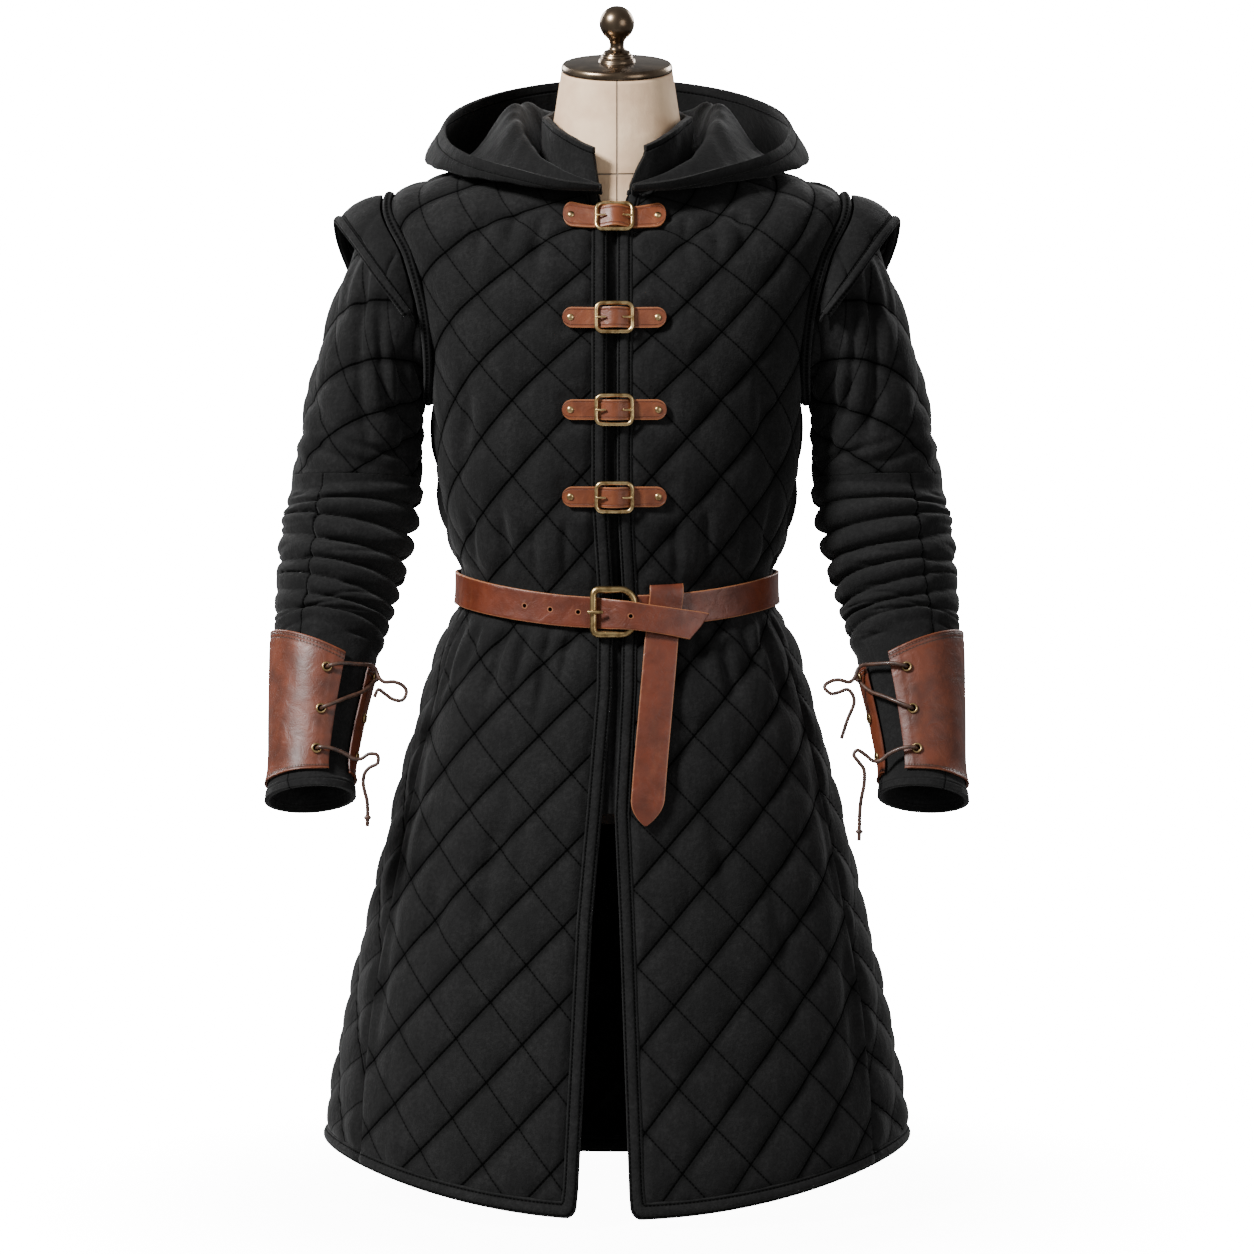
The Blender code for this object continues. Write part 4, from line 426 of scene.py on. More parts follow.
# name, height at the front, side and back, half width, depth to the front and back, squareness
form_rows = (
    ("base", 0.430, 0.430, 0.430, 0.150, 0.110, 0.114, 2.2),
    ("hip", 0.500, 0.500, 0.500, 0.160, 0.116, 0.120, 2.2),
    ("waist", 0.660, 0.660, 0.660, 0.142, 0.100, 0.088, 2.2),
    ("ribs", 0.780, 0.780, 0.780, 0.162, 0.113, 0.098, 2.3),
    ("bust", 0.900, 0.900, 0.900, 0.172, 0.117, 0.107, 2.4),
    ("yoke", 0.975, 0.995, 0.985, 0.180, 0.107, 0.104, 2.5),
    ("arm plate", 1.010, 1.048, 1.044, 0.182, 0.096, 0.097, 2.5),
    ("shoulder", 1.040, 1.084, 1.088, 0.1428, 0.0835, 0.0852, 2.2),
    ("neck root", 1.068, 1.102, 1.119, 0.0774, 0.0799, 0.0697, 2.0),
    ("low neck", 1.108, 1.132, 1.150, 0.0715, 0.072, 0.066, 2.0),
    ("neck", 1.152, 1.168, 1.184, 0.0655, 0.064, 0.063, 2.0),
    ("neck top", 1.1960, 1.2080, 1.2200, 0.0595, 0.058, 0.058, 2.0),
)
# coarse up to the shoulder, and fine from there to the top of the neck
levels = np.concatenate([np.linspace(0, 7, 50), np.linspace(7, 11, 49)[1:]])
sizes = smooth(np.arange(len(form_rows)), [row[1:] for row in form_rows], levels)
fall = np.interp(levels, [7.6, 9.0], [2.0, 1.0])[:, None]
turns = np.linspace(0, 2 * math.pi, 97)[None]
front_z, side_z, back_z, half_width, front, back, squareness = [sizes[:, k, None] for k in range(7)]
sine, cosine = np.sin(turns), np.cos(turns)
spots = np.stack(
    [
        half_width * np.sign(sine) * np.abs(sine) ** (2 / squareness),
        np.where(cosine > 0, -front, back) * np.abs(cosine) ** (2 / squareness),
        side_z + (np.where(cosine > 0, front_z, back_z) - side_z) * np.abs(cosine) ** fall,
    ],
    axis=-1,
)
spots[:, -1] = spots[:, 0]
form = grid_piece("dress_form", linen, spots, wrap=True)
mend(form, close=True)
settle(form, "linen", "form_body")

bronze = patchy_finish(
    "dark bronze", 0.27, (0.120, 0.082, 0.054), (0.34, 0.26, 0.18), 30, relief=(0.0008, 0.5), metallic=1.0,
    detail=6, high_at=0.7, stretch=(1, 1, 0.3),
)

ball, ball_middle = 0.0187, 0.0515
# radius and height of the turned profile, from the middle of the underside
cap_profile = (
    (0.0, 0.0), (0.0570, 0.0), (0.0588, 0.0006), (0.0594, 0.0018), (0.0594, 0.0040), (0.0586, 0.0066),
    (0.0572, 0.0084), (0.0560, 0.0088), (0.0553, 0.0086), (0.0546, 0.0089), (0.0300, 0.0101), (0.0200, 0.0106),
    (0.0196, 0.0112), (0.0194, 0.0128), (0.0186, 0.0140), (0.0172, 0.0146), (0.0168, 0.0152), (0.0170, 0.0164),
    (0.0162, 0.0180), (0.0146, 0.0188), (0.0142, 0.0196), (0.0144, 0.0206), (0.0132, 0.0218), (0.0108, 0.0226),
    (0.0090, 0.0240), (0.0078, 0.0262), (0.0076, 0.0292), (0.0082, 0.0326), (0.0096, 0.0350),
) + tuple(
    (ball * math.cos(math.radians(a)), ball_middle + ball * math.sin(math.radians(a))) for a in range(-50, 90, 8)
) + ((0.0, ball_middle + ball),)
radius, height = np.array(cap_profile).T[..., None]
turns = np.linspace(0, 2 * math.pi, 97)
spots = np.stack([radius * np.cos(turns), radius * np.sin(turns), height + 0 * turns], axis=-1)
lean = Matrix.Rotation(math.radians(11.7), 3, "X")
neck_top = (0.0, 0.0, 1.2084)
spots = spots @ np.array(lean).T + neck_top
spots[:, -1] = spots[:, 0]
cap = grid_piece("form_cap_turned", bronze, spots, wrap=True, sharp=35)
settle(cap, "dark brass", "form_cap")

wood = patchy_finish(
    "stained beech", 0.42, (0.022, 0.012, 0.007), (0.075, 0.040, 0.022), 30, relief=(0.0006, 0.6),
    detail=6, stretch=(6, 6, 0.5),
)
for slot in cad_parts["stand"].material_slots:
    slot.material = wood

# ---------------------------------------------------------------------------------------------------------------
# Fronts and back
# Each is black cotton on both sides of cotton wadding, quilted in lozenges by two sets of slanting stitch lines.
# The grain of the fronts leans outwards below the belt, and soft creases fall from the belt and the neck.

# name, height at the front, side and back, half width, depth to the front and back, squareness
body_rows = (
    ("hem", 0.010, 0.064, 0.012, 0.314, 0.214, 0.214, 2.0),
    ("shin", 0.110, 0.140, 0.110, 0.301, 0.205, 0.205, 2.0),
    ("knee", 0.215, 0.225, 0.215, 0.283, 0.193, 0.195, 2.05),
    ("thigh", 0.320, 0.322, 0.320, 0.260, 0.178, 0.182, 2.1),
    ("seat", 0.420, 0.420, 0.420, 0.237, 0.163, 0.168, 2.15),
    ("hip", 0.510, 0.510, 0.510, 0.213, 0.148, 0.154, 2.2),
    ("under belt", 0.585, 0.590, 0.590, 0.189, 0.134, 0.134, 2.25),
    ("belt low", 0.620, 0.636, 0.640, 0.169, 0.124, 0.112, 2.3),
    ("belt high", 0.662, 0.680, 0.684, 0.167, 0.122, 0.108, 2.3),
    ("over belt", 0.705, 0.712, 0.720, 0.177, 0.130, 0.114, 2.3),
    ("ribs", 0.775, 0.775, 0.785, 0.190, 0.138, 0.121, 2.35),
    ("armpit", 0.858, 0.858, 0.865, 0.196, 0.141, 0.127, 2.4),
    ("chest", 0.925, 0.945, 0.945, 0.213, 0.139, 0.131, 2.55),
    ("yoke", 0.982, 1.020, 1.015, 0.231, 0.130, 0.128, 2.7),
    ("point", 1.022, 1.072, 1.066, 0.238, 0.118, 0.118, 2.7),
    ("shoulder", 1.051, 1.101, 1.104, 0.160, 0.104, 0.104, 2.3),
    ("neck", 1.074, 1.118, 1.132, 0.081, 0.092, 0.080, 2.0),
)
# steps of the net from one row of the table to the next
per_row = 20
# the armhole's middle row, half its height in rows, and how many degrees it cuts in
armhole_row, armhole_rows, armhole_cut = 12.5, 1.5, 26
half_turns = np.linspace(0, math.pi, 361)
net_rows = np.linspace(0, 16, 16 * per_row + 1)


def unit(vectors):
    return vectors / np.linalg.norm(vectors, axis=-1, keepdims=True)


def lengths_along(line):
    """The length from the start of a line to each of its places."""
    return np.concatenate([[0], np.cumsum(np.linalg.norm(np.diff(line, axis=0), axis=1))])


def between(net, i, j, a, b):
    """A value in one cell of a net, a share a along its rows and a share b along its columns."""
    low = net[i, j] * (1 - a) + net[i + 1, j] * a
    return low * (1 - b) + (net[i, j + 1] * (1 - a) + net[i + 1, j + 1] * a) * b


def body_section(rows, angles):
    """Points of the body's sections, from the middle of the front round the left side."""
    sizes = smooth(np.arange(len(body_rows)), [row[1:] for row in body_rows], rows)
    front_z, side_z, back_z, half_width, front, back, squareness = [sizes[..., k, None] for k in range(7)]
    sine, cosine = np.sin(angles), np.cos(angles)
    return np.stack(
        [
            half_width * np.abs(sine) ** (2 / squareness),
            np.where(cosine > 0, -front, back) * np.abs(cosine) ** (2 / squareness),
            side_z + (np.where(cosine > 0, front_z, back_z) - side_z) * cosine**2,
        ],
        axis=-1,
    )


sections = body_section(net_rows, half_turns)
steps = np.linalg.norm(np.diff(sections, axis=1), axis=2)
round_lengths = np.concatenate([np.zeros((len(net_rows), 1)), np.cumsum(steps, axis=1)], axis=1)
half_girths = round_lengths[:, -1]
shares = np.linspace(0, 1, 241)
body_net = np.stack(
    [
        np.stack([np.interp(shares * lengths[-1], lengths, section[:, k]) for k in range(3)], -1)
        for lengths, section in zip(round_lengths, sections)
    ]
)
body_out = np.cross(np.gradient(body_net, axis=1), np.gradient(body_net, axis=0))
body_out[:, (0, -1), 0] = 0
body_out = unit(body_out)
# lengths up the cloth are taken 45 degrees round from the front
ups = lengths_along(sections[:, 90])


def up_at_row(row):
    return np.interp(row, net_rows, ups)


def row_at_up(up):
    return np.interp(up, ups, net_rows)


def up_at_height(height):
    return np.interp(height, body_net[:, 0, 2], ups)


def in_row(values, up):
    """One of the rows' values at a length up the body."""
    return np.interp(up, ups, values)


def on_body(length, up, out=0.0):
    """The place of cloth that lies a length round from the middle of the front, positive to the left, and a length
    up from the hem, and so far out."""
    length, up, out = np.broadcast_arrays(*[np.asarray(v, float) for v in (length, up, out)])
    row = row_at_up(up) * per_row
    i = np.clip(row.astype(int), 0, len(net_rows) - 2)
    a = (row - i)[..., None]
    half = half_girths[i] + (half_girths[i + 1] - half_girths[i]) * a[..., 0]
    share = np.clip(np.abs(length) / half, 0, 1) * (len(shares) - 1)
    j = np.clip(share.astype(int), 0, len(shares) - 2)
    b = (share - j)[..., None]
    spot = between(body_net, i, j, a, b) + unit(between(body_out, i, j, a, b)) * out[..., None]
    spot[..., 0] *= np.where(length < 0, -1, 1)
    return spot


def on_back(across, up, out):
    """The same for a length from the middle of the back."""
    return on_body(np.where(across < 0, -1, 1) * (in_row(half_girths, up) - np.abs(across)), up, out)


def length_at_angle(degrees, up):
    """The length round from the front to an angle, at a length up."""
    row = row_at_up(up) * per_row
    i = int(min(row, len(net_rows) - 2))
    lengths = round_lengths[i] + (round_lengths[i + 1] - round_lengths[i]) * (row - i)
    return float(np.interp(math.radians(degrees), half_turns, lengths))


# height, where the opening's middle lies to the left, and half its width
opening = ((0.0, -0.014, 0.0285), (0.320, -0.0115, 0.0145), (0.430, -0.009, 0.0070), (0.560, 0.0, 0.0050),
           (0.660, 0.001, 0.0050), (0.760, -0.005, 0.0055), (1.045, -0.005, 0.0055), (1.076, -0.004, 0.0150))
band = 0.015
seam_gap = 0.0007
belt_up = float(up_at_row(7.5))
top_up = float(up_at_row(16))


def opening_edge(side, up):
    """How far the edge of one front is from the body's middle."""
    height = np.interp(up, ups, body_net[:, 0, 2])
    middle, half = [np.interp(height, [r[0] for r in opening], [r[k] for r in opening]) for k in (1, 2)]
    return half + side * middle


def side_angle(row):
    """Degrees from the front to the side seam, the armhole or the shoulder seam."""
    if row < armhole_row - armhole_rows:
        return float(np.interp(row, (0, 2, 7, 11), (60, 66, 72, 90)))
    if row < armhole_row + armhole_rows:
        return 90 - armhole_cut * math.sqrt(max(0.0, 1 - ((row - armhole_row) / armhole_rows) ** 2))
    return 90.0


def scatter(number, seed):
    """An even but irregular number from 0 to 1 for each whole number."""
    return np.modf(np.abs(np.sin(number * 12.9898 + seed * 78.233)) * 43758.5453)[0]


def ripples(x, y, seed, long=4.0):
    """Uneven soft waves, longer one way than the other, from about -1 to 1."""
    total = 0
    for k in range(6):
        a, b, c = (float(scatter(np.float64(k * 3 + n), seed)) for n in (1, 2, 3))
        finer = 2 ** (k / 2.5)
        wave = x * (0.7 + a) * finer + y * (b - 0.5) * 2.4 / long * finer + c * 9
        total = total + np.sin(wave) / (1 + k * 0.45)
    return total / 2.6


# half the width and half the height of a lozenge
lozenge = (0.037, 0.040)


def quilted(across, up, puff, seed):
    """Height of the wadding between the two sets of stitch lines, with one set sunk deeper than the other."""
    p, q = across / lozenge[0], up / lozenge[1]
    height = 1.0
    for line, depth in (((p + q) / 2, 0.72), ((p - q) / 2, 1.0)):
        near = np.abs(line - np.round(line)) * 2
        height = height * (1 - depth * (1 - near) ** 2.6)
    cell = np.floor((p + q) / 2) * 7 + np.floor((p - q) / 2) * 131
    return puff * height * (0.86 + 0.24 * scatter(cell, seed))


def over(x, start, end):
    """From 0 at start to 1 at end."""
    t = np.clip((x - start) / (end - start), 0, 1)
    return t * t * (3 - 2 * t)


def ridge(x, middle, width):
    """A smooth bump from 0 to 1 and back."""
    return np.exp(-(((x - middle) / width) ** 2))


def creases(x, y, table):
    """Soft troughs: for each level up the cloth, where they start, how far they lean on their way, and their length
    down, width and depth."""
    total = np.zeros_like(x)
    for level, troughs in table:
        for across, up, lean, long, width, depth in troughs:
            down = (level + up - y) / long
            body = over(down, -0.05, 0.25) * (1 - over(down, 0.5, 1.0))
            total -= 1.7 * depth * ridge(x, across + lean * down, width) * body
    return total


def black_cotton(name, quilting=None, edge_lines=(), low=0.0022, high=0.0058, wrinkle=0.0034):
    """Brushed black cotton, with painted shade along its lines of stitches. quilting is the half width and half
    height of the lozenges that its stitches follow, and edge_lines are lengths across the cut where a line of
    stitches runs along it."""
    finish, tree, shader = new_finish(name, 0.88)
    maths, ranged, blend = node_tools(tree)
    stitch_long, sheen, gloss = 0.0042, 0.07, 0.26
    colour = mixed_colours(tree, (low,) * 3, (high, high * 0.985, high * 0.98), 30, 7, 0.36, 0.66)[0]
    nap = noise(tree, 520, 3)
    slub = noise(tree, 240, 6, roughness=0.7)
    soft = noise(tree, 48, 3, stretch=(1, 1, 0.34))
    colour = blend(1.0, colour, ranged(slub, 0.36, 0.72, 0.50, 1.85), "MULTIPLY")
    relief = add_bump(tree, nap, 0.0006, 0.9)
    relief = add_bump(tree, slub, 0.0008, 0.7, relief)
    relief = add_bump(tree, soft, wrinkle, 0.8, relief)
    shader.inputs["Sheen Weight"].default_value = sheen
    shader.inputs["Sheen Roughness"].default_value = 0.45
    shader.inputs["Specular IOR Level"].default_value = gloss

    # distance from each line of stitches, how many stitches along it, and how hard it is pulled: the quilting's
    # second set is deep and has the darkest painted shade, its first shows its stitches and a little painted shade,
    # and a line along an edge is between them
    lines = []
    if quilting or edge_lines:
        laid = tree.nodes.new("ShaderNodeUVMap")
        apart = tree.nodes.new("ShaderNodeSeparateXYZ")
        tree.links.new(laid.outputs["UV"], apart.inputs[0])
        u, v = apart.outputs["X"], apart.outputs["Y"]
    if quilting:
        p, q = maths("DIVIDE", u, quilting[0]), maths("DIVIDE", v, quilting[1])
        first = maths("MULTIPLY", maths("ADD", p, q), 0.5)
        second = maths("MULTIPLY", maths("SUBTRACT", p, q), 0.5)
        spacing = 2 / math.hypot(1 / quilting[0], 1 / quilting[1])
        for across, along, pull in ((first, second, "slack"), (second, first, "tight")):
            away = maths("MULTIPLY", maths("PINGPONG", across, 0.5), spacing)
            lines.append((away, maths("MULTIPLY", along, math.hypot(*quilting) / stitch_long), pull))
    for at in edge_lines:
        away = maths("ABSOLUTE", maths("SUBTRACT", u, at))
        lines.append((away, maths("DIVIDE", v, stitch_long), "edge"))
    if lines:
        groove, light = 1.0, 1.0
        for away, along, pull in lines:
            if pull != "slack":
                groove = maths("MULTIPLY", groove, ranged(away, 0.0, 0.0019))
            stitch = ranged(maths("PINGPONG", along, 0.5), 0.10, 0.26)
            hole = maths("MULTIPLY", ranged(away, 0.0004, 0.0010, 1.0, 0.0), stitch)
            light = maths("MULTIPLY", light, maths("SUBTRACT", 1.0, maths("MULTIPLY", hole, 0.75)))
            # painted shade: the colour is darkened in a thin line along each groove and in a broader band beside it,
            # darkest and widest on the quilting's second set
            narrow, wide = ((0.0018, 0.34), (0.0095, 0.58)) if pull == "tight" else ((0.0014, 0.62), (0.0040, 0.82))
            light = maths("MULTIPLY", light, ranged(away, 0.0002, *narrow))
            light = maths("MULTIPLY", light, ranged(away, 0.0, *wide))
        # the stitches and the painted shade darken the colour, and the sheen and gloss fade with them
        colour = blend(light, (0.0007, 0.0007, 0.0007, 1), colour)
        relief = add_bump(tree, groove, 0.0011, 1.0, relief)
        tree.links.new(maths("MULTIPLY", light, sheen), shader.inputs["Sheen Weight"])
        tree.links.new(maths("MULTIPLY", light, gloss), shader.inputs["Specular IOR Level"])
    tree.links.new(colour, shader.inputs["Base Color"])
    tree.links.new(relief, shader.inputs["Normal"])
    return finish


quilt_cotton = black_cotton("black cotton quilted", lozenge)

# at each level up the front: across from its middle, up, lean on the way down, length, width and depth of each crease
front_creases = {
    1: (
        (belt_up, (
            (0.050, -0.020, 0.010, 0.090, 0.0050, 0.0032), (0.078, -0.022, 0.014, 0.075, 0.0060, 0.0040),
            (0.104, -0.020, 0.022, 0.110, 0.0070, 0.0042), (0.132, -0.022, 0.026, 0.070, 0.0060, 0.0034),
            (0.163, -0.020, 0.034, 0.120, 0.0080, 0.0040), (0.192, -0.022, 0.036, 0.090, 0.0070, 0.0034),
            (0.060, 0.085, 0.004, 0.062, 0.0050, 0.0026), (0.096, 0.105, -0.004, 0.082, 0.0060, 0.0032),
            (0.141, 0.092, -0.004, 0.070, 0.0060, 0.0030), (0.180, 0.120, -0.010, 0.098, 0.0070, 0.0034),
            (0.152, 0.250, 0.030, 0.130, 0.0090, 0.0040),
        )),
        (top_up, (
            (0.071, -0.070, 0.004, 0.115, 0.0060, 0.0030), (0.098, -0.085, 0.012, 0.090, 0.0070, 0.0034),
            (0.129, -0.095, 0.010, 0.080, 0.0070, 0.0028),
        )),
        (0.0, (
            (0.085, 0.420, 0.020, 0.150, 0.0100, 0.0030), (0.150, 0.330, 0.020, 0.180, 0.0120, 0.0034),
            (0.228, 0.500, 0.030, 0.260, 0.0120, 0.0048), (0.250, 0.260, 0.010, 0.200, 0.0130, 0.0042),
        )),
    ),
    -1: (
        (belt_up, (
            (0.047, -0.022, 0.008, 0.075, 0.0050, 0.0030), (0.069, -0.020, 0.010, 0.125, 0.0055, 0.0046),
            (0.092, -0.022, 0.016, 0.085, 0.0060, 0.0036), (0.118, -0.020, 0.022, 0.110, 0.0070, 0.0044),
            (0.150, -0.022, 0.032, 0.080, 0.0070, 0.0036), (0.182, -0.020, 0.036, 0.120, 0.0080, 0.0040),
            (0.054, 0.092, 0.002, 0.070, 0.0050, 0.0028), (0.088, 0.080, -0.002, 0.056, 0.0055, 0.0026),
            (0.125, 0.110, -0.006, 0.086, 0.0065, 0.0034), (0.170, 0.100, -0.010, 0.080, 0.0070, 0.0032),
            (0.158, 0.235, 0.026, 0.120, 0.0090, 0.0040),
        )),
        (top_up, (
            (0.078, -0.075, 0.006, 0.120, 0.0065, 0.0034), (0.106, -0.080, 0.010, 0.085, 0.0070, 0.0030),
            (0.140, -0.100, 0.012, 0.090, 0.0080, 0.0030),
        )),
        (0.0, (
            (0.110, 0.400, 0.024, 0.170, 0.0110, 0.0034), (0.175, 0.360, 0.020, 0.160, 0.0120, 0.0032),
            (0.222, 0.520, 0.036, 0.280, 0.0120, 0.0050), (0.255, 0.300, 0.012, 0.220, 0.0130, 0.0042),
        )),
    ),
}
closure_heights = (1.0500, 0.9480, 0.8530, 0.7620)
# the wadding can't be pressed in further than this
deepest_dent = -0.0028
panel_ups = np.concatenate(
    [
        np.linspace(band + seam_gap, up_at_row(armhole_row - armhole_rows), 172)[:-1],
        up_at_row(armhole_row - armhole_rows * np.cos(np.linspace(0, math.pi, 50))),
        np.linspace(up_at_row(armhole_row + armhole_rows), top_up, 30)[1:],
    ]
)
panel_rows = row_at_up(panel_ups)
# each panel runs a little past the side seam, and further under the armhole's piping
past_seam = 0.0006 + 0.0034 * over(panel_rows, 11.0, 11.2) * (1 - over(panel_rows, 13.90, 14.0))


def flat_places(u, v):
    """Places in the cut cloth for each point of a grid."""
    return np.stack(np.broadcast_arrays(u, v), axis=-1)


def for_side(side, spots, laid, turned_on, axis=1):
    """A grid of the left side for either side. On one of them it is turned round, so that it faces outwards."""
    spots = spots * (side, 1, 1)
    if side == turned_on:
        spots, laid = np.flip(spots, axis), np.flip(laid, axis)
    return spots, laid


def off_belt(up):
    """Less wadding where the belt draws the cloth in."""
    return 0.12 + 0.88 * over(np.abs(up - belt_up), 0.018, 0.036)


for word, side in (("left", 1), ("right", -1)):
    share = np.linspace(0, 1, 76)
    starts = (opening_edge(side, panel_ups) + band + seam_gap)[:, None]
    ends = np.array([length_at_angle(side_angle(row), up) for row, up in zip(panel_rows, panel_ups)])
    ends = (ends + past_seam)[:, None]
    length = starts + (ends - starts) * share
    up = panel_ups[:, None] + 0 * share
    grain = length - 0.055 * np.maximum(0, belt_up - up)
    height = quilted(side * grain, up, 0.0056, 3 + side) + 0.0007 * ripples(grain / 0.016, up / 0.016, 5 + side)
    height *= over(length - starts, -0.001, 0.008) * over(ends - length, -0.001, 0.006)
    height *= over(up, 0.010, 0.028) * off_belt(up)
    height *= 1 - 0.8 * over(up, up_at_row(14.8), up_at_row(15.3))
    for centre in closure_heights:
        near = np.abs(up - up_at_height(centre))
        height *= 1 - 0.85 * (1 - over(near, 0.012, 0.026)) * (1 - over(length, 0.054, 0.068))
    height *= 1 - 0.45 * over((length - starts) / (ends - starts), 0.72, 1.0)
    height += creases(grain, up, front_creases[side]) * over(ends - length, 0.0, 0.02)
    spots = on_body(length, up, np.maximum(height, deepest_dent))
    spots, laid = for_side(side, spots, flat_places(side * grain, up), turned_on=-1)
    front = grid_piece("front_panel_" + word, quilt_cotton, spots, laid, sharp=80)
    give_thickness(front, thickness=0.0046, round_edge=0.0010)
    settle(front, "black cotton", "front_" + word)

back_creases = (
    (belt_up, tuple(
        (-0.20 + 0.058 * k + 0.013 * math.sin(k * 2.3), -0.020 if k % 2 else 0.098 + 0.012 * math.sin(k),
         0.010 * (k - 3.5) / 3.5, 0.080 + 0.030 * math.sin(k * 1.7), 0.0066, 0.0036)
        for k in range(8)
    ) + ((-0.130, 0.300, 0.020, 0.150, 0.0090, 0.0034), (0.140, 0.280, -0.022, 0.140, 0.0090, 0.0036))),
    (0.0, (
        (-0.120, 0.400, -0.020, 0.220, 0.0120, 0.0040), (0.060, 0.430, 0.014, 0.260, 0.0130, 0.0044),
        (0.180, 0.340, 0.026, 0.210, 0.0120, 0.0040), (-0.030, 0.250, -0.006, 0.160, 0.0110, 0.0034),
    )),
)
reach = []
for row, up in zip(panel_rows, panel_ups):
    angle = side_angle(row)
    if abs(row - armhole_row) <= armhole_rows:
        angle = 180 - angle
    reach.append(in_row(half_girths, up) - length_at_angle(angle, up))
reach = (np.array(reach) + past_seam)[:, None]
across = reach * np.linspace(-1, 1, 125)
from_seam = reach - np.abs(across)
up = panel_ups[:, None] + 0 * across
height = quilted(across, up, 0.0062, 9) + 0.0007 * ripples(across / 0.016, up / 0.016, 12)
height *= over(from_seam, -0.001, 0.006) * over(up, 0.010, 0.028) * off_belt(up)
under_hood = over(up, up_at_row(11.8), up_at_row(12.3)) * (1 - over(np.abs(across), 0.18, 0.21))
height *= 1 - 0.45 * np.maximum(under_hood, over(up, up_at_row(14.8), up_at_row(15.3)) * 1.6)
height += creases(across, up, back_creases) * over(from_seam, 0.0, 0.02)
spots, laid = on_back(across, up, np.maximum(height, deepest_dent)), flat_places(across, up)
back = grid_piece("back_panel", quilt_cotton, spots[:, ::-1], laid[:, ::-1], sharp=80)
give_thickness(back, thickness=0.0046, round_edge=0.0010)
settle(back, "black cotton", "back")

# ---------------------------------------------------------------------------------------------------------------
# Bindings and placket
# A strip of plain cotton is folded round the front edges and the hem, and sewn down with a line of stitches near
# each side. A narrow placket of the same cotton hangs behind the opening.

bound_cotton = black_cotton("black cotton binding", edge_lines=(0.0022, 0.0128), low=0.0030, high=0.0066)
plain_cotton = black_cotton("black cotton plain", low=0.0028, high=0.0062)

# share of the strip's width from its outer edge, and how far out it is, once round the strip
band_profile = np.array(
    (
        (-0.02, -0.0012), (0.02, 0.0010), (0.10, 0.0021), (0.15, 0.0019), (0.24, 0.0031), (0.50, 0.0037),
        (0.76, 0.0030), (0.85, 0.0019), (0.93, 0.0021), (1.04, 0.0010), (1.12, -0.0012), (1.10, -0.0040),
        (0.50, -0.0046), (0.06, -0.0046), (0.0, -0.0034), (-0.02, -0.0012),
    )
)


def strip_of_binding(name, node, outer, inner, place):
    """A folded strip between an outer edge and an inner one, both given on the flat cloth."""
    outer, inner = np.array(outer, float), np.array(inner, float)
    long = lengths_along((outer + inner) / 2)
    share, out = band_profile.T
    flat = outer[:, None] + (inner - outer)[:, None] * share[:, None]
    ripple = 0.0004 * ripples(long[:, None] / 0.013, share[None] * 2, 21) * (share > 0.05)
    spots = place(flat[..., 0], flat[..., 1], out + ripple)
    strip = grid_piece(name, bound_cotton, spots, flat_places(share * band, long[:, None]), wrap=True, sharp=60)
    mend(strip, close=True, outwards=True)
    settle(strip, "black cotton", node)


def seam_at(up):
    """The length round from the front to the side seam, at a length up near the hem."""
    return length_at_angle(side_angle(float(row_at_up(up))), up)


for word, side in (("left", 1), ("right", -1)):
    ups_down = np.arange(top_up - 0.0002, 0.026, -0.0065)
    edge = opening_edge(side, ups_down)
    outer = list(zip(edge, ups_down))
    inner = list(zip(edge + band, ups_down))
    foot = float(opening_edge(side, 0.0))
    corner = 0.013
    for turn in range(0, 91, 15):
        angle = math.radians(turn)
        outer.append((foot + corner * (1 - math.cos(angle)), corner * (1 - math.sin(angle))))
        inner.append((foot + band + 0.0006 * turn / 90, band + 0.003 * (1 - turn / 90)))
    last, last_in = seam_at(0.0) - seam_gap, seam_at(band) - seam_gap
    for t in np.linspace(0.03, 1, 44):
        outer.append((foot + corner + (last - foot - corner) * t, 0.0))
        inner.append((foot + band + (last_in - foot - band) * t, band))

    def on_front(length, up, out, side=side):
        return on_body(side * length, up, out)

    strip_of_binding("front_binding_" + word, "binding_" + word, outer, inner, on_front)

hem_end, inner_end = [float(in_row(half_girths, up) - seam_at(up) - seam_gap) for up in (0.0, band)]
outer = [(t * hem_end, 0.0) for t in np.linspace(-1, 1, 97)]
inner = [(t * inner_end, band) for t in np.linspace(-1, 1, 97)]
strip_of_binding("back_binding", "binding_back", outer, inner, on_back)

hang = np.linspace(float(up_at_height(0.431)), float(up_at_height(1.045)), 120)[:, None]
share = np.linspace(-1, 1, 29)
length = 0.0235 * share - 0.004 + 0 * hang
fold = 0.0011 * np.sin(share * 13 + hang * 9) + 0.0005 * ripples(share[None] * 3, hang / 0.05, 31)
spots = on_body(length, hang, -0.0068 + fold)
placket = grid_piece("inner_placket", plain_cotton, spots, flat_places(length, hang), sharp=80)
give_thickness(placket, thickness=0.0018)
settle(placket, "black cotton", "placket")
hang = hang[:, 0]

# ---------------------------------------------------------------------------------------------------------------
# Collar
# A low standing collar of padded cotton, sewn to the neck edge and open at the front, where its corners turn out.
# A raised seam runs along its foot.

collar_cotton = black_cotton("black cotton collar", edge_lines=(0.0058,), wrinkle=0.0026)
front_z, side_z, back_z, half_width, front, back_depth = 1.122, 1.160, 1.184, 0.0800, 0.096, 0.078
collar_high = 0.048
levels = np.linspace(0, 1, 30)
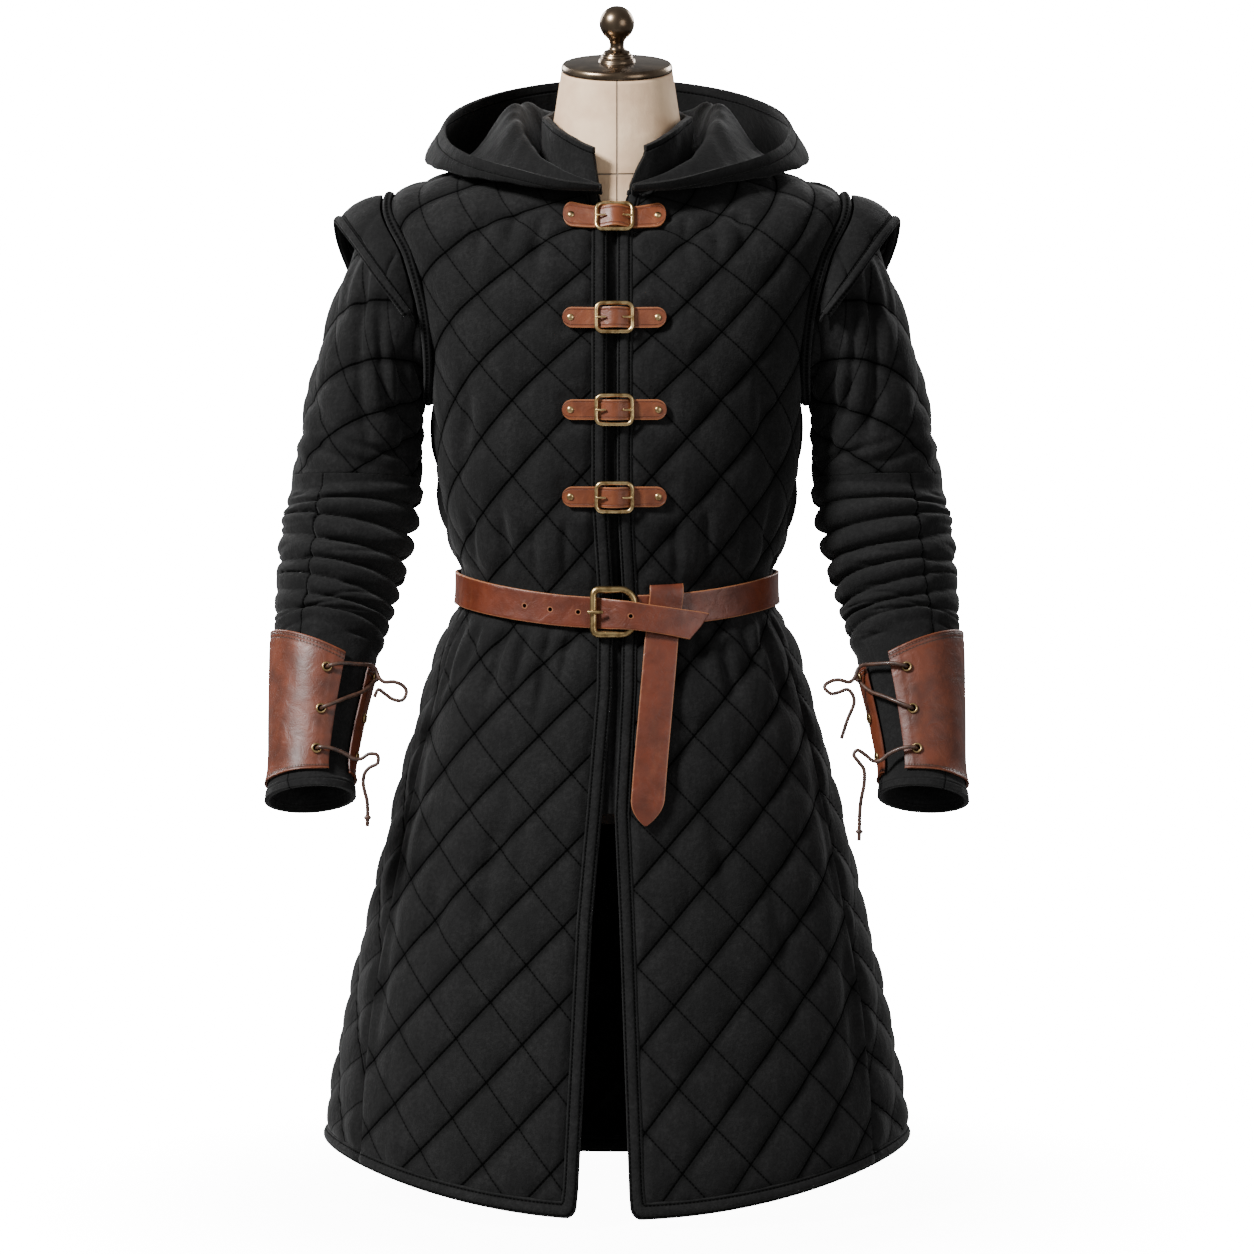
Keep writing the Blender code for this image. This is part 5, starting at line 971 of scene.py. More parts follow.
# how far the front is open at each level, from its foot to its turned-out corners
opened = np.interp(levels, (0.0, 0.25, 0.5, 0.80, 0.94, 1.0), (0.0, 0.20, 0.50, 0.93, 1.0, 1.0))
turns = np.linspace(0, 1, 150)
rows = []
for level, wide in zip(levels, opened):
    half = 0.0150 + (0.0285 - 0.0150) * wide
    middle = -0.004 + (0.0030 + 0.004) * wide
    start = math.asin((half + middle) / half_width)
    end = 2 * math.pi - math.asin((half - middle) / half_width)
    angle = start + (end - start) * turns
    sine, cosine = np.sin(angle), np.cos(angle)
    foot = body_section(np.array([16.0]), np.where(angle > math.pi, 2 * math.pi - angle, angle))[0]
    foot[:, 0] *= np.where(angle > math.pi, -1, 1)
    foot = foot + (0, 0, 0.001)
    peak = np.stack(
        [
            half_width * sine, np.where(cosine > 0, -front, back_depth) * np.abs(cosine),
            side_z + (np.where(cosine > 0, front_z, back_z) - side_z) * cosine**2,
        ],
        axis=-1,
    )
    out = unit(np.stack([sine / half_width, -cosine / front, 0 * sine], axis=-1))
    soft = 0.0010 * ripples(angle * 4.5, level * 3.5 + 0 * angle, 41, 1.6) * (0.3 + over(level, 0.1, 0.5))
    soft = soft + 0.0012 * ridge(level, 0.10, 0.05) - 0.0008 * ridge(level, 0.93, 0.03) - 0.0002
    rows.append(foot + (peak - foot) * level + out * soft[:, None])
spots = np.array(rows)
laid = flat_places((1 - levels[:, None]) * collar_high, lengths_along(spots[15]))
collar = grid_piece("standing_collar", collar_cotton, spots, laid, sharp=80)
give_thickness(collar, thickness=0.0060, round_edge=0.0018)
settle(collar, "black cotton", "collar")

# ---------------------------------------------------------------------------------------------------------------
# Hood
# Two halves of doubled cotton, sewn together up the back and to the neck seam. It lies back on the shoulders: out
# and down from the collar, then up and over to its hemmed edge.

# angle from the front, then distance from the neck and height of the fold by the collar, the lowest part, the
# outermost part and the edge
hood_rows = (
    (9, 0.1035, 1.0880, 0.1090, 1.0850, 0.1145, 1.0838, 0.1205, 1.0885),
    (26, 0.1060, 1.0980, 0.1150, 1.0890, 0.1250, 1.0845, 0.1320, 1.0930),
    (45, 0.1070, 1.1140, 0.1260, 1.0970, 0.1420, 1.0900, 0.1460, 1.1040),
    (66, 0.1070, 1.1370, 0.1420, 1.1100, 0.1700, 1.0990, 0.1670, 1.1180),
    (85, 0.1070, 1.1580, 0.1560, 1.1160, 0.1960, 1.1090, 0.1790, 1.1340),
    (103, 0.1090, 1.1720, 0.1640, 1.1160, 0.2060, 1.1180, 0.1860, 1.1560),
    (122, 0.1090, 1.1740, 0.1660, 1.1050, 0.2080, 1.1140, 0.1880, 1.1750),
    (141, 0.1060, 1.1640, 0.1820, 1.0440, 0.2080, 1.0850, 0.1850, 1.1910),
    (160, 0.1000, 1.1540, 0.1620, 0.9800, 0.2060, 1.0350, 0.1790, 1.2010),
    (180, 0.0980, 1.1500, 0.1560, 0.9500, 0.2040, 1.0100, 0.1750, 1.2040),
)
hood_cotton = black_cotton("black cotton hood", edge_lines=(0.0100,), low=0.0013, high=0.0037, wrinkle=0.0028)
degrees = np.linspace(9, 180, 120)
sizes = smooth([row[0] for row in hood_rows], [row[1:] for row in hood_rows], degrees)
neck = body_section(np.array([16.0]), np.radians(degrees))[0]
sections, flats = [], []
for size, foot, degree in zip(sizes, neck, degrees):
    neck_seam = (math.hypot(foot[0], foot[1]) + 0.0038, foot[2] + 0.0032)
    knots = np.array([neck_seam, *size.reshape(4, 2)])
    along = lengths_along(knots)
    places = np.concatenate(
        [[0.0]] + [np.linspace(a, b, n + 1)[1:] for a, b, n in zip(along, along[1:], (12, 18, 20, 22))]
    )
    line = smooth(along, knots, places)
    ahead = unit(np.gradient(line, axis=0))
    out = np.stack([ahead[:, 1], -ahead[:, 0]], axis=1)
    from_edge = along[-1] - places
    share = places / along[-1]
    bowl = over(share, 0.05, 0.25) * (1 - over(share, 0.75, 0.95))
    lift = 0.0022 * ripples(degree / 7 + 0 * share, share * 8, 51, 1.3) * bowl * over(degree, 20, 60)
    for centre, width, deep in ((74, 5.0, 0.0034), (98, 4.0, 0.0022), (118, 5.0, 0.0028), (148, 6.0, 0.0030)):
        lift = lift - deep * ridge(degree + (share - 0.4) * 26, centre, width) * bowl * 0.8
    # the rolled hem with its line of stitches, and the seam down the middle of the back
    lift = lift + 0.0008 * ridge(from_edge, 0.004, 0.004) - 0.0006 * ridge(from_edge, 0.010, 0.0012)
    lift = lift - 0.0010 * ridge(degree, 180, 1.2)
    line = line + out * lift[:, None]
    sine, cosine = math.sin(math.radians(degree)), math.cos(math.radians(degree))
    sections.append(np.stack([np.maximum(line[:, 0] * sine, 0.0004), -line[:, 0] * cosine, line[:, 1]], -1))
    flats.append(flat_places(from_edge, degree * 0.003))
spots, laid = np.array(sections), np.array(flats)
for word, side in (("left", 1), ("right", -1)):
    these, those = for_side(side, spots, laid, turned_on=-1, axis=0)
    hood = grid_piece("hood_half_" + word, hood_cotton, these, those, sharp=80)
    give_thickness(hood, thickness=0.0032, round_edge=0.0011)
    settle(hood, "black cotton", "hood_" + word)

# ---------------------------------------------------------------------------------------------------------------
# Sleeves
# Each is quilted like the body down to the elbow. The forearm is plain padded cotton, pushed up into deep folds
# above the bracer, with a seam down its front and one down its outside.

# name, centre x, y, z, half width across, half depth, roll of across above level, forward pitch
arm_rows = (
    ("cap", 0.2376, 0.000, 0.953, 0.0850, 0.072, 68, 0),
    ("over arm", 0.2545, 0.000, 0.907, 0.0715, 0.075, 50, 0),
    ("biceps", 0.2650, 0.001, 0.861, 0.0640, 0.074, 30, 0),
    ("above elbow", 0.2740, 0.003, 0.812, 0.0650, 0.073, 11, 2),
    ("elbow", 0.2800, 0.004, 0.766, 0.0690, 0.071, 0, 7),
    ("forearm", 0.2920, -0.010, 0.705, 0.0680, 0.067, -1, 14),
    ("lower arm", 0.3020, -0.030, 0.642, 0.0620, 0.060, -3, 19),
    ("over wrist", 0.3085, -0.048, 0.594, 0.0570, 0.055, -4, 22),
    ("wrist", 0.3170, -0.077, 0.528, 0.0485, 0.048, -4, 24),
    ("over cuff", 0.3220, -0.101, 0.473, 0.0430, 0.043, -4, 24),
    ("cuff", 0.3230, -0.110, 0.4520, 0.0465, 0.046, -4, 24),
    ("sleeve end", 0.3232, -0.1145, 0.4415, 0.0475, 0.047, -4, 24),
)


def armhole(turns_round, out=0.0):
    """Points of the armhole's edge, from its top round towards the front."""
    spots = []
    for turn in np.atleast_1d(turns_round):
        up = float(up_at_row(armhole_row + armhole_rows * math.cos(turn)))
        spots.append(on_body(length_at_angle(90 - armhole_cut * math.sin(turn), up), up, out))
    return np.array(spots)


arm_turns = np.linspace(-180, 180, 73)
ring = armhole(np.radians(arm_turns))
rings = [ring + (0.0056, 0, 0) + unit(ring.mean(axis=0) - ring) * 0.0060]
for _, x, y, z, wide, deep, roll, pitch in arm_rows:
    roll, pitch = math.radians(roll), math.radians(pitch)
    across = np.array((math.cos(roll), 0, math.sin(roll)))
    forwards = np.array((0, -math.cos(pitch), math.sin(pitch)))
    angle = np.radians(arm_turns)[:, None]
    rings.append(np.array((x, y, z)) + across * np.cos(angle) * wide + forwards * np.sin(angle) * deep)
arm_levels = np.linspace(0, 12, 12 * per_row + 1)
arm_net = smooth(np.arange(len(rings)), np.array(rings), arm_levels)
open_net = arm_net[:, :-1]
arm_out = np.cross(np.roll(open_net, -1, axis=1) - np.roll(open_net, 1, axis=1), np.gradient(open_net, axis=0))
arm_out = unit(np.concatenate([arm_out, arm_out[:, :1]], axis=1))


def on_arm(row, degrees, out=0.0):
    """A place on the left arm: its row, degrees from the outside towards the front, and how far out."""
    row, degrees, out = np.broadcast_arrays(*[np.asarray(v, float) for v in (row, degrees, out)])
    row = np.clip(row, 0, 12) * per_row
    i = np.clip(row.astype(int), 0, len(arm_levels) - 2)
    turn = ((degrees + 180) % 360) / 5
    j = np.clip(turn.astype(int), 0, len(arm_turns) - 2)
    a, b = (row - i)[..., None], (turn - j)[..., None]
    return between(arm_net, i, j, a, b) + unit(between(arm_out, i, j, a, b)) * out[..., None]


elbow = 4.8
# lengths down the arm are taken 40 degrees round from the outside
downs = lengths_along(arm_net[:, 44])
steps = np.linalg.norm(np.diff(arm_net, axis=1), axis=2)
girths = np.concatenate([np.zeros((len(arm_levels), 1)), np.cumsum(steps, axis=1)], axis=1)
long = float(np.interp(elbow, arm_levels, downs))
turns = np.linspace(-180, 180, 109)
down = np.linspace(0, long, 84)[:, None] + 0 * turns
rows = np.interp(down, downs, arm_levels)
around = np.array([np.interp(turns, arm_turns, girths[int(row * per_row)]) for row in rows[:, 0]])
around = around - around[:, -1:] / 2
height = quilted(around, -down, 0.0046, 61) + 0.0008 * ripples(around / 0.016, down / 0.018, 62)
height *= over(down, 0.0, 0.014) * (0.35 + 0.65 * over(long - down, 0.0, 0.040)) * over(180 - np.abs(turns), 0.5, 6)
# long slanting troughs: where each starts and ends round the arm and down it, its width in degrees and its depth
for start_turn, end_turn, start_down, end_down, wide, deep in (
    (46, 104, 0.040, 0.250, 7.0, 0.0085), (78, 128, 0.050, 0.210, 7.0, 0.0070), (18, 40, 0.030, 0.120, 6.0, 0.0030),
    (118, 150, 0.060, 0.280, 9.0, 0.0070), (-60, -100, 0.040, 0.220, 8.0, 0.0060),
    (-110, -140, 0.060, 0.260, 9.0, 0.0060), (-20, -34, 0.050, 0.150, 7.0, 0.0030),
):
    t = (down - start_down) / (end_down - start_down)
    line = start_turn + (end_turn - start_turn) * t
    height -= deep * ridge(turns, line, wide) * over(t, -0.1, 0.2) * (1 - over(t, 0.7, 1.05))
# short troughs across the arm above the elbow: the middle of each, its lean, its half length in degrees and depth
for turn, at, lean, wide, deep in (
    (35, 0.225, 0.05, 42, 0.0030), (-10, 0.262, -0.04, 50, 0.0036), (60, 0.272, 0.06, 40, 0.0040),
    (120, 0.262, 0.03, 45, 0.0050), (-120, 0.258, 0.02, 60, 0.0044), (15, 0.285, 0.05, 60, 0.0034),
):
    line = at * long / 0.30 + lean * (turns - turn) / 180
    height -= deep * ridge(down, line, 0.0065) * ridge(turns, turn, wide)
upper = on_arm(rows, turns, np.maximum(height, -0.0060))
upper_laid = flat_places(around, -down)

# rows of the arm where a fold's crest crosses its inside and its outside, and its depth
folds = np.array(
    (
        (5.18, 5.14, 0.0045), (5.62, 5.42, 0.0070), (6.10, 5.74, 0.0075), (6.54, 6.06, 0.0070), (6.92, 6.38, 0.0060),
        (7.27, 6.68, 0.0050), (7.60, 6.97, 0.0042), (7.92, 7.24, 0.0028),
    )
)
sleeve_cotton = black_cotton("black cotton sleeve", edge_lines=(0.0,), wrinkle=0.0022)
turns = np.linspace(-180, 180, 101)
rows = np.concatenate([np.linspace(elbow + 0.01, 8.4, 140), np.linspace(8.4, 12, 50)[1:]])
inwards = (1 - np.cos(np.radians(turns))) / 2
deepest = 0.30 + 0.70 * np.maximum(inwards, np.sin(np.radians(turns)) * 0.75)
height = np.zeros((len(rows), len(turns)))
count = np.arange(len(folds))
for j, turn in enumerate(turns):
    crest = folds[:, 1] + (folds[:, 0] - folds[:, 1]) * inwards[j]
    crest = crest + 0.055 * np.sin(count * 2.1 + math.radians(turn) * (1.6 + 0.3 * np.sin(count * 1.3)))
    if -100 < turn < 62:
        crest = crest + 0.10 * np.sin(count * 1.9 + 1)
    number = np.interp(rows, crest, count)
    number = np.where(rows < crest[0], (rows - crest[0]) / 0.40, number)
    number = np.where(rows > crest[-1], count[-1] + (rows - crest[-1]) / 0.50, number)
    profile = 1 - 1.62 * (np.abs(number - np.round(number)) * 2) ** 2.3
    faded = over(number, -0.6, 0.0) * (1 - over(number, 7.0, 7.7))
    height[:, j] = np.interp(number, count, folds[:, 2]) * profile * deepest[j] * faded * 1.12
rows = rows[:, None]
for k in range(44):
    turn, at, wide, lean, deep = [float(scatter(np.float64(k), seed)) for seed in (71, 72, 73, 74, 75)]
    turn = -150 + 300 * turn
    line = 5.1 + 2.9 * at + 0.12 * (turns - turn) / 60 * (lean - 0.5) * 3
    height -= (0.0018 + 0.0020 * deep) * ridge(rows, line, 0.034) * ridge(turns, turn, 10 + 16 * wide)
# a seam down the front of the forearm, and one down its outside
front_seam, outer_seam = 64, -28
wander = 2.0 * np.sin(rows * 2.2)
for at, deep in ((front_seam, 0.0026), (outer_seam, 0.0012)):
    height -= deep * ridge(turns, at + wander, 1.8) * (1 - over(rows, 8.4, 9.0))
height += 0.0007 * ripples(rows * 5, turns[None] / 20, 76, 1.5) * (1 - over(rows, 8.3, 8.8))
from_elbow = over(rows, elbow + 0.01, 5.05)
height = height * from_elbow + 0.0012 * (1 - from_elbow)
height += 0.0013 * over(rows, 10.95, 11.15) * (1 - 0.6 * ridge(rows, 11.25, 0.05))
lower = on_arm(rows, turns, np.clip(height, -0.0060, 0.0105))
lower_laid = flat_places((turns - front_seam - wander) * 0.0011, rows * 0.06)

for word, side in (("left", 1), ("right", -1)):
    for name, spots, laid, finish, node, wall in (
        ("sleeve_quilted_", upper, upper_laid, quilt_cotton, "sleeve_upper_", 0.0046),
        ("sleeve_folded_", lower, lower_laid, sleeve_cotton, "sleeve_lower_", 0.0050),
    ):
        these, those = for_side(side, spots, laid, turned_on=1)
        sleeve = grid_piece(name + word, finish, these, those, wrap=True, sharp=80)
        mend(sleeve, outwards=True)
        give_thickness(sleeve, thickness=wall, round_edge=0.0012)
        settle(sleeve, "black cotton", node + word)

# ---------------------------------------------------------------------------------------------------------------
# Shoulder wings and pipings
# A crescent of lightly padded cotton sewn into each armhole seam. Padded pipings follow the armhole and the wing's
# free edge, each stitched down on both sides.

wing_cotton = black_cotton("black cotton wing", edge_lines=(0.0050,), wrinkle=0.0018)
piping_cotton = black_cotton("black cotton piping", edge_lines=(0.0015, 0.0105), low=0.0032, high=0.0070)

# degrees from the armhole's top towards the front, and where the wing's free edge is there
wing_rows = (
    (-118, 0.2130, 0.0920, 0.9160), (-100, 0.2420, 0.0980, 0.9380), (-75, 0.2600, 0.0900, 0.9580),
    (-45, 0.2800, 0.0650, 0.9980), (-20, 0.2920, 0.0310, 1.0340), (0, 0.2920, -0.0050, 1.0530),
    (20, 0.2820, -0.0360, 1.0440), (45, 0.2600, -0.0660, 1.0160), (75, 0.2350, -0.0850, 0.9800),
    (98, 0.2130, -0.0830, 0.9480),
)
wing_turns = np.linspace(-118, 98, 97)
# how far out of the body and to the side the wing's seam lies, and how far its cloth goes into its piping
seam_out, seam_aside, into_piping = 0.0075, 0.0066, 0.0040
foot = armhole(np.radians(wing_turns), seam_out) + (seam_aside, 0, 0)
off_body = unit(foot - armhole(np.radians(wing_turns), 0.0) - (seam_aside, 0, 0))
edge = smooth([row[0] for row in wing_rows], [row[1:] for row in wing_rows], wing_turns)
width = np.linalg.norm(edge - foot, axis=1)[:, None]
t = np.linspace(0, 1, 26)
spots = foot[:, None] + (edge - foot)[:, None] * (t * (1 + into_piping / width))[..., None]
spots = spots + off_body[:, None] * (width * 0.10 * 4 * t * (1 - t))[..., None]
face = np.cross(np.gradient(spots, axis=1), np.gradient(spots, axis=0))
face /= np.maximum(np.linalg.norm(face, axis=2, keepdims=True), 1e-9)
face *= np.sign((face * off_body[:, None]).sum(axis=2, keepdims=True).mean())
puffed = 0.0022 * over(width, 0.01, 0.04) * np.sin(np.pi * t) ** 0.6
# the wing is stitched down along six lines from its seam to its edge
for centre in (-92, -62, -30, 2, 34, 66):
    puffed = puffed - 0.0034 * ridge(wing_turns[:, None], centre, 1.3) * over(t, -0.05, 0.2)
soft = 0.0007 * ripples(wing_turns[:, None] / 9, t[None] * 3, 81, 1.4)
spots = spots + face * (puffed + soft)[..., None]
laid = flat_places((1 - t) * width, wing_turns[:, None] * 0.0018)


def padded_cord(name, line, sideways, upwards, half_size, closed):
    """A flattened padded tube along a line; sideways and upwards are the tube's own directions at each point."""
    round_tube = np.linspace(0, 2 * math.pi, 17)
    flat, tall = np.cos(round_tube), np.sin(round_tube)
    tall = np.where(np.abs(flat) > 0.80, tall * 0.55, tall)
    spots = line[:, None] + sideways[:, None] * (flat * half_size[0])[:, None]
    spots = spots + upwards[:, None] * (tall * half_size[1])[:, None]
    laid = flat_places((1 + flat) * 0.006, lengths_along(line)[:, None])
    tube = grid_piece(name, piping_cotton, spots, laid, wrap=True, sharp=80)
    mend(tube, merge=0.00005 if closed else 0, close=not closed, outwards=True)
    return tube


# half a piping's thickness, and how far past the wing's edge the middle of its piping lies
piping_half, piping_past = 0.0056, 0.0059
ring_turns = np.radians(np.linspace(0, 360, 145))
ring_line = armhole(ring_turns, piping_half)
ring_line[-1] = ring_line[0]
ring_out = unit(armhole(ring_turns, 0.0100) - armhole(ring_turns, 0.0))
ahead = np.roll(ring_line[:-1], -1, axis=0) - np.roll(ring_line[:-1], 1, axis=0)
ring_side = unit(np.cross(np.concatenate([ahead, ahead[:1]]), ring_out))

rim = np.arange(2, 95)
rim_line = edge[rim]
rim_ahead = unit(np.gradient(rim_line, axis=0))
rim_side = (edge - foot)[rim] / width[rim]
rim_side = unit(rim_side - rim_ahead * (rim_side * rim_ahead).sum(axis=1, keepdims=True))
rim_up = np.cross(rim_side, rim_ahead)
rim_up *= np.sign((rim_up * off_body[rim]).sum(axis=1).mean())
rim_line = rim_line + rim_side * piping_past

for word, side in (("left", 1), ("right", -1)):
    flip = np.array((side, 1.0, 1.0))
    these, those = for_side(side, spots, laid, turned_on=-1)
    wing = grid_piece("shoulder_wing_" + word, wing_cotton, these, those, sharp=80)
    if sum(f.normal.x for f in wing.data.polygons) * side < 0:
        wing.data.flip_normals()
    give_thickness(wing, thickness=0.0050, round_edge=0.0014)
    settle(wing, "black cotton", "wing_" + word)

    tube = padded_cord("armhole_piping_" + word + "_padded", ring_line * flip, ring_side * flip, ring_out * flip,
                       (piping_half, piping_half), closed=True)
    settle(tube, "black cotton", "armhole_piping_" + word)
    tube = padded_cord("wing_piping_" + word + "_padded", rim_line * flip, rim_side * flip, rim_up * flip,
                       (piping_half, 0.0048), closed=False)
    settle(tube, "black cotton", "wing_piping_" + word)

# ---------------------------------------------------------------------------------------------------------------
# Bracers
# One piece of thick brown leather round each forearm, laced along the inside of the arm. A row of stitches runs
# round each edge, and a strip is sewn on under the eyelets.


def brown_leather(name, edges=(), stitched=(), holes=(), ditch_share=0.65, deep=(0.030, 0.0075, 0.0032),
                  mid=(0.122, 0.0255, 0.0084), pale=(0.24, 0.070, 0.025), rough=0.46, worn=0.30):
    """Oiled leather: mottled dye, creases, and worn paler edges at the given u with a ditch beside each, which is
    left out with ditch_share 0. Lines of stitches run at other u, and holes at the given v have a pale rim."""
    finish, tree, shader = new_finish(name, rough)
    maths, ranged, blend = node_tools(tree)
    stitch_long, ditch_in, hole_radius = 0.0036, 0.0027, 0.0026
    dye = mixed_colours(tree, deep, mid, 42, detail=9, low_at=0.30, high_at=0.62)[0]
    streak = mixed_colours(tree, mid, pale, 120, detail=10, low_at=0.52, high_at=0.86, stretch=(1, 1, 0.35))[0]
    colour = blend(worn, dye, streak)
    laid = tree.nodes.new("ShaderNodeUVMap")
    split = tree.nodes.new("ShaderNodeSeparateXYZ")
    tree.links.new(laid.outputs["UV"], split.inputs["Vector"])
    u, v = split.outputs["X"], split.outputs["Y"]

    def distance(value, at):
        return maths("ABSOLUTE", maths("SUBTRACT", value, at))

    def close_to(value, at, width):
        """1 at a place, falling to 0 at a width from it."""
        return maths("SUBTRACT", 1.0, maths("DIVIDE", distance(value, at), width), clamp=True)

    def tinted(share, strength, tint):
        return blend(maths("MULTIPLY", share, strength), colour, (*tint, 1))

    relief = 0.0
    for at in edges:
        colour = tinted(close_to(u, at, 0.0013), 0.75, pale)
        ditch = close_to(distance(u, at), ditch_in, 0.0006)
        colour = tinted(ditch, ditch_share, deep)
        relief = maths("ADD", relief, maths("MULTIPLY", ditch, -ditch_share))
    for at in stitched:
        line = close_to(u, at, 0.0010)
        beat = distance(maths("FRACT", maths("DIVIDE", v, stitch_long)), 0.5)
        thread = maths("MULTIPLY", line, maths("GREATER_THAN", 0.34, beat))
        colour = tinted(line, 0.75, (0.012, 0.006, 0.004))
        colour = tinted(thread, 0.85, (0.050, 0.024, 0.014))
        raised = maths("SUBTRACT", maths("MULTIPLY", thread, 0.9), maths("MULTIPLY", line, 0.8))
        relief = maths("ADD", relief, raised)
    for at in holes:
        squares = maths("ADD", maths("POWER", u, 2.0), maths("POWER", maths("SUBTRACT", v, at), 2.0))
        colour = tinted(close_to(maths("SQRT", squares), hole_radius, 0.0007), 0.75, pale)
    tree.links.new(colour, shader.inputs["Base Color"])

    grain = tree.nodes.new("ShaderNodeTexVoronoi")
    grain.feature = "F1"
    grain.inputs["Scale"].default_value = 900
    tree.links.new(tree.nodes.new("ShaderNodeTexCoord").outputs["Object"], grain.inputs["Vector"])
    crease = noise(tree, 70, 8, distortion=0.8)
    normal = add_bump(tree, crease, 0.0014, 0.75)
    normal = add_bump(tree, grain.outputs["Distance"], 0.00025, 0.35, normal)
    normal = add_bump(tree, relief, 0.0009, 1.0, normal)
    tree.links.new(normal, shader.inputs["Normal"])
    shine = ranged(crease, 0.0, 1.0, rough - 0.10, rough + 0.16, kind="LINEAR")
    tree.links.new(shine, shader.inputs["Roughness"])
    shader.inputs["Coat Weight"].default_value = 0.14
    shader.inputs["Specular IOR Level"].default_value = 0.46
    shader.inputs["Coat Roughness"].default_value = 0.42
    return finish


bracer_leather = brown_leather("bracer leather", edges=(0.0, 1.0), stitched=(0.0045, 0.0085, 0.9955))
# degrees round the arm of the two laced edges, and the arm's row at the foot
first_edge, last_edge, foot_row = -211, 116, 10.66
around = np.concatenate(
    [[first_edge, first_edge + 0.6], np.linspace(first_edge + 2, last_edge - 2, 150), [last_edge - 0.6, last_edge]]
)
arm_length = lengths_along(on_arm(arm_levels, -40))
share = np.concatenate([[0, 0.006], np.linspace(0.02, 0.98, 56), [0.994, 1.0]])
sections, flats = [], []
for degree in around:
    cosine, sine = math.cos(math.radians(degree)), math.sin(math.radians(degree))
    top_row = 7.98 - 0.42 * cosine + 0.15 * sine
    rows = top_row + (foot_row - top_row) * share
    edge_in = min(degree - first_edge, last_edge - degree)
    out = 0.0046 + 0.0005 * math.sin(degree * 0.11) * np.sin(share * 9)
    # the strip under the eyelets, the ditch under the upper edge, both ends rounded, and a long soft crease
    out = out + 0.0005 * over(edge_in, -0.1, 1.5) * (1 - over(edge_in, 11.5, 15.0))
    out = out - 0.0008 * ridge(share * 0.13, 0.0065, 0.0010) - 0.0006 * ((share < 0.004) | (share > 0.997))
    out = out + 0.0009 * ridge(degree + share * 30, -60, 9) * np.sin(share * 3.1)
    sections.append(on_arm(rows, degree, out - 0.0009 * (edge_in < 0.3)))
    down = np.interp(rows, arm_levels, arm_length)
    flats.append(flat_places(down - down[0], degree * 0.00098))
sections, flats = np.array(sections), np.array(flats)
# the finish finds the lower edge at u = 1, so the last 20 mm are counted back from there
from_foot = flats[..., 0].max(axis=1, keepdims=True) - flats[..., 0]
flats[..., 0] = np.where(from_foot < 0.02, 1.0 - from_foot, flats[..., 0])
for word, side in (("left", 1), ("right", -1)):
    these, those = for_side(side, sections, flats, turned_on=1, axis=0)
    bracer = grid_piece("bracer_cuff_" + word, bracer_leather, these, those, sharp=50)
    outward = 0
    for face in bracer.data.polygons:
        arm_middle = Vector((side * 0.315, -0.07, face.center.z))
        outward += (face.center - arm_middle).normalized().dot(face.normal)
    if outward < 0:
        bracer.data.flip_normals()
    give_thickness(bracer, thickness=0.0030, round_edge=0.0009)
    settle(bracer, "brown leather", "bracer_" + word)


def old_brass(name, dark, bright, rough):
    """Cast brass, brushed along its length and darker where it has not been handled."""
    finish, tree, shader = new_finish(name, rough, 1.0)
    ranged = node_tools(tree)[1]
    colour, patches = mixed_colours(tree, dark, bright, 150, 7, 0.34, 0.58)
    tree.links.new(colour, shader.inputs["Base Color"])
    normal = add_bump(tree, patches, 0.0004, 0.35)
    normal = add_bump(tree, noise(tree, 900, 3, stretch=(1, 1, 0.15)), 0.0001, 0.5, normal)
    tree.links.new(normal, shader.inputs["Normal"])
    shine = ranged(patches, 0.0, 1.0, rough + 0.14, rough - 0.08, kind="LINEAR")
    tree.links.new(shine, shader.inputs["Roughness"])
    return finish


brass = old_brass("old brass", (0.22, 0.140, 0.058), (0.50, 0.355, 0.165), 0.32)


def turned_to(normal):
    """A turn that sends Z along a normal, with Y as near upright as it can be."""
    z = Vector(normal).normalized()
    x = Vector((0, 0, 1)).cross(z).normalized()
    return Matrix((x, z.cross(x), z)).transposed()


def cut_holes(piece, holes, radius):
    """Round holes through a piece, each given by its place and direction."""
    for spot, direction in holes:
        bpy.ops.object.select_all(action="DESELECT")
        bpy.ops.mesh.primitive_cylinder_add(
            vertices=20, radius=radius, depth=0.012, location=spot, rotation=turned_to(direction).to_euler()
        )
        drill = bpy.context.object
        bpy.context.view_layer.objects.active = piece
        cut = piece.modifiers.new("hole", "BOOLEAN")
        cut.operation = "DIFFERENCE"
        cut.solver = "EXACT"
        cut.object = drill
        bpy.ops.object.modifier_apply(modifier=cut.name)
        bpy.data.objects.remove(drill)
    bpy.ops.object.select_all(action="DESELECT")
    bpy.context.view_layer.objects.active = piece
    piece.select_set(True)
    bpy.ops.object.shade_smooth_by_angle(angle=math.radians(45))


def put_in_place(piece, name, finish, sharp=None):
    """Name a new piece, fix its place in its mesh, smooth it and give it its finish."""
    piece.name = piece.data.name = name
    bpy.ops.object.transform_apply(location=True, rotation=True, scale=True)
    if sharp:
        bpy.ops.object.shade_smooth_by_angle(angle=math.radians(sharp))
    else:
        bpy.ops.object.shade_smooth()
    piece.data.materials.clear()
    piece.data.materials.append(finish)


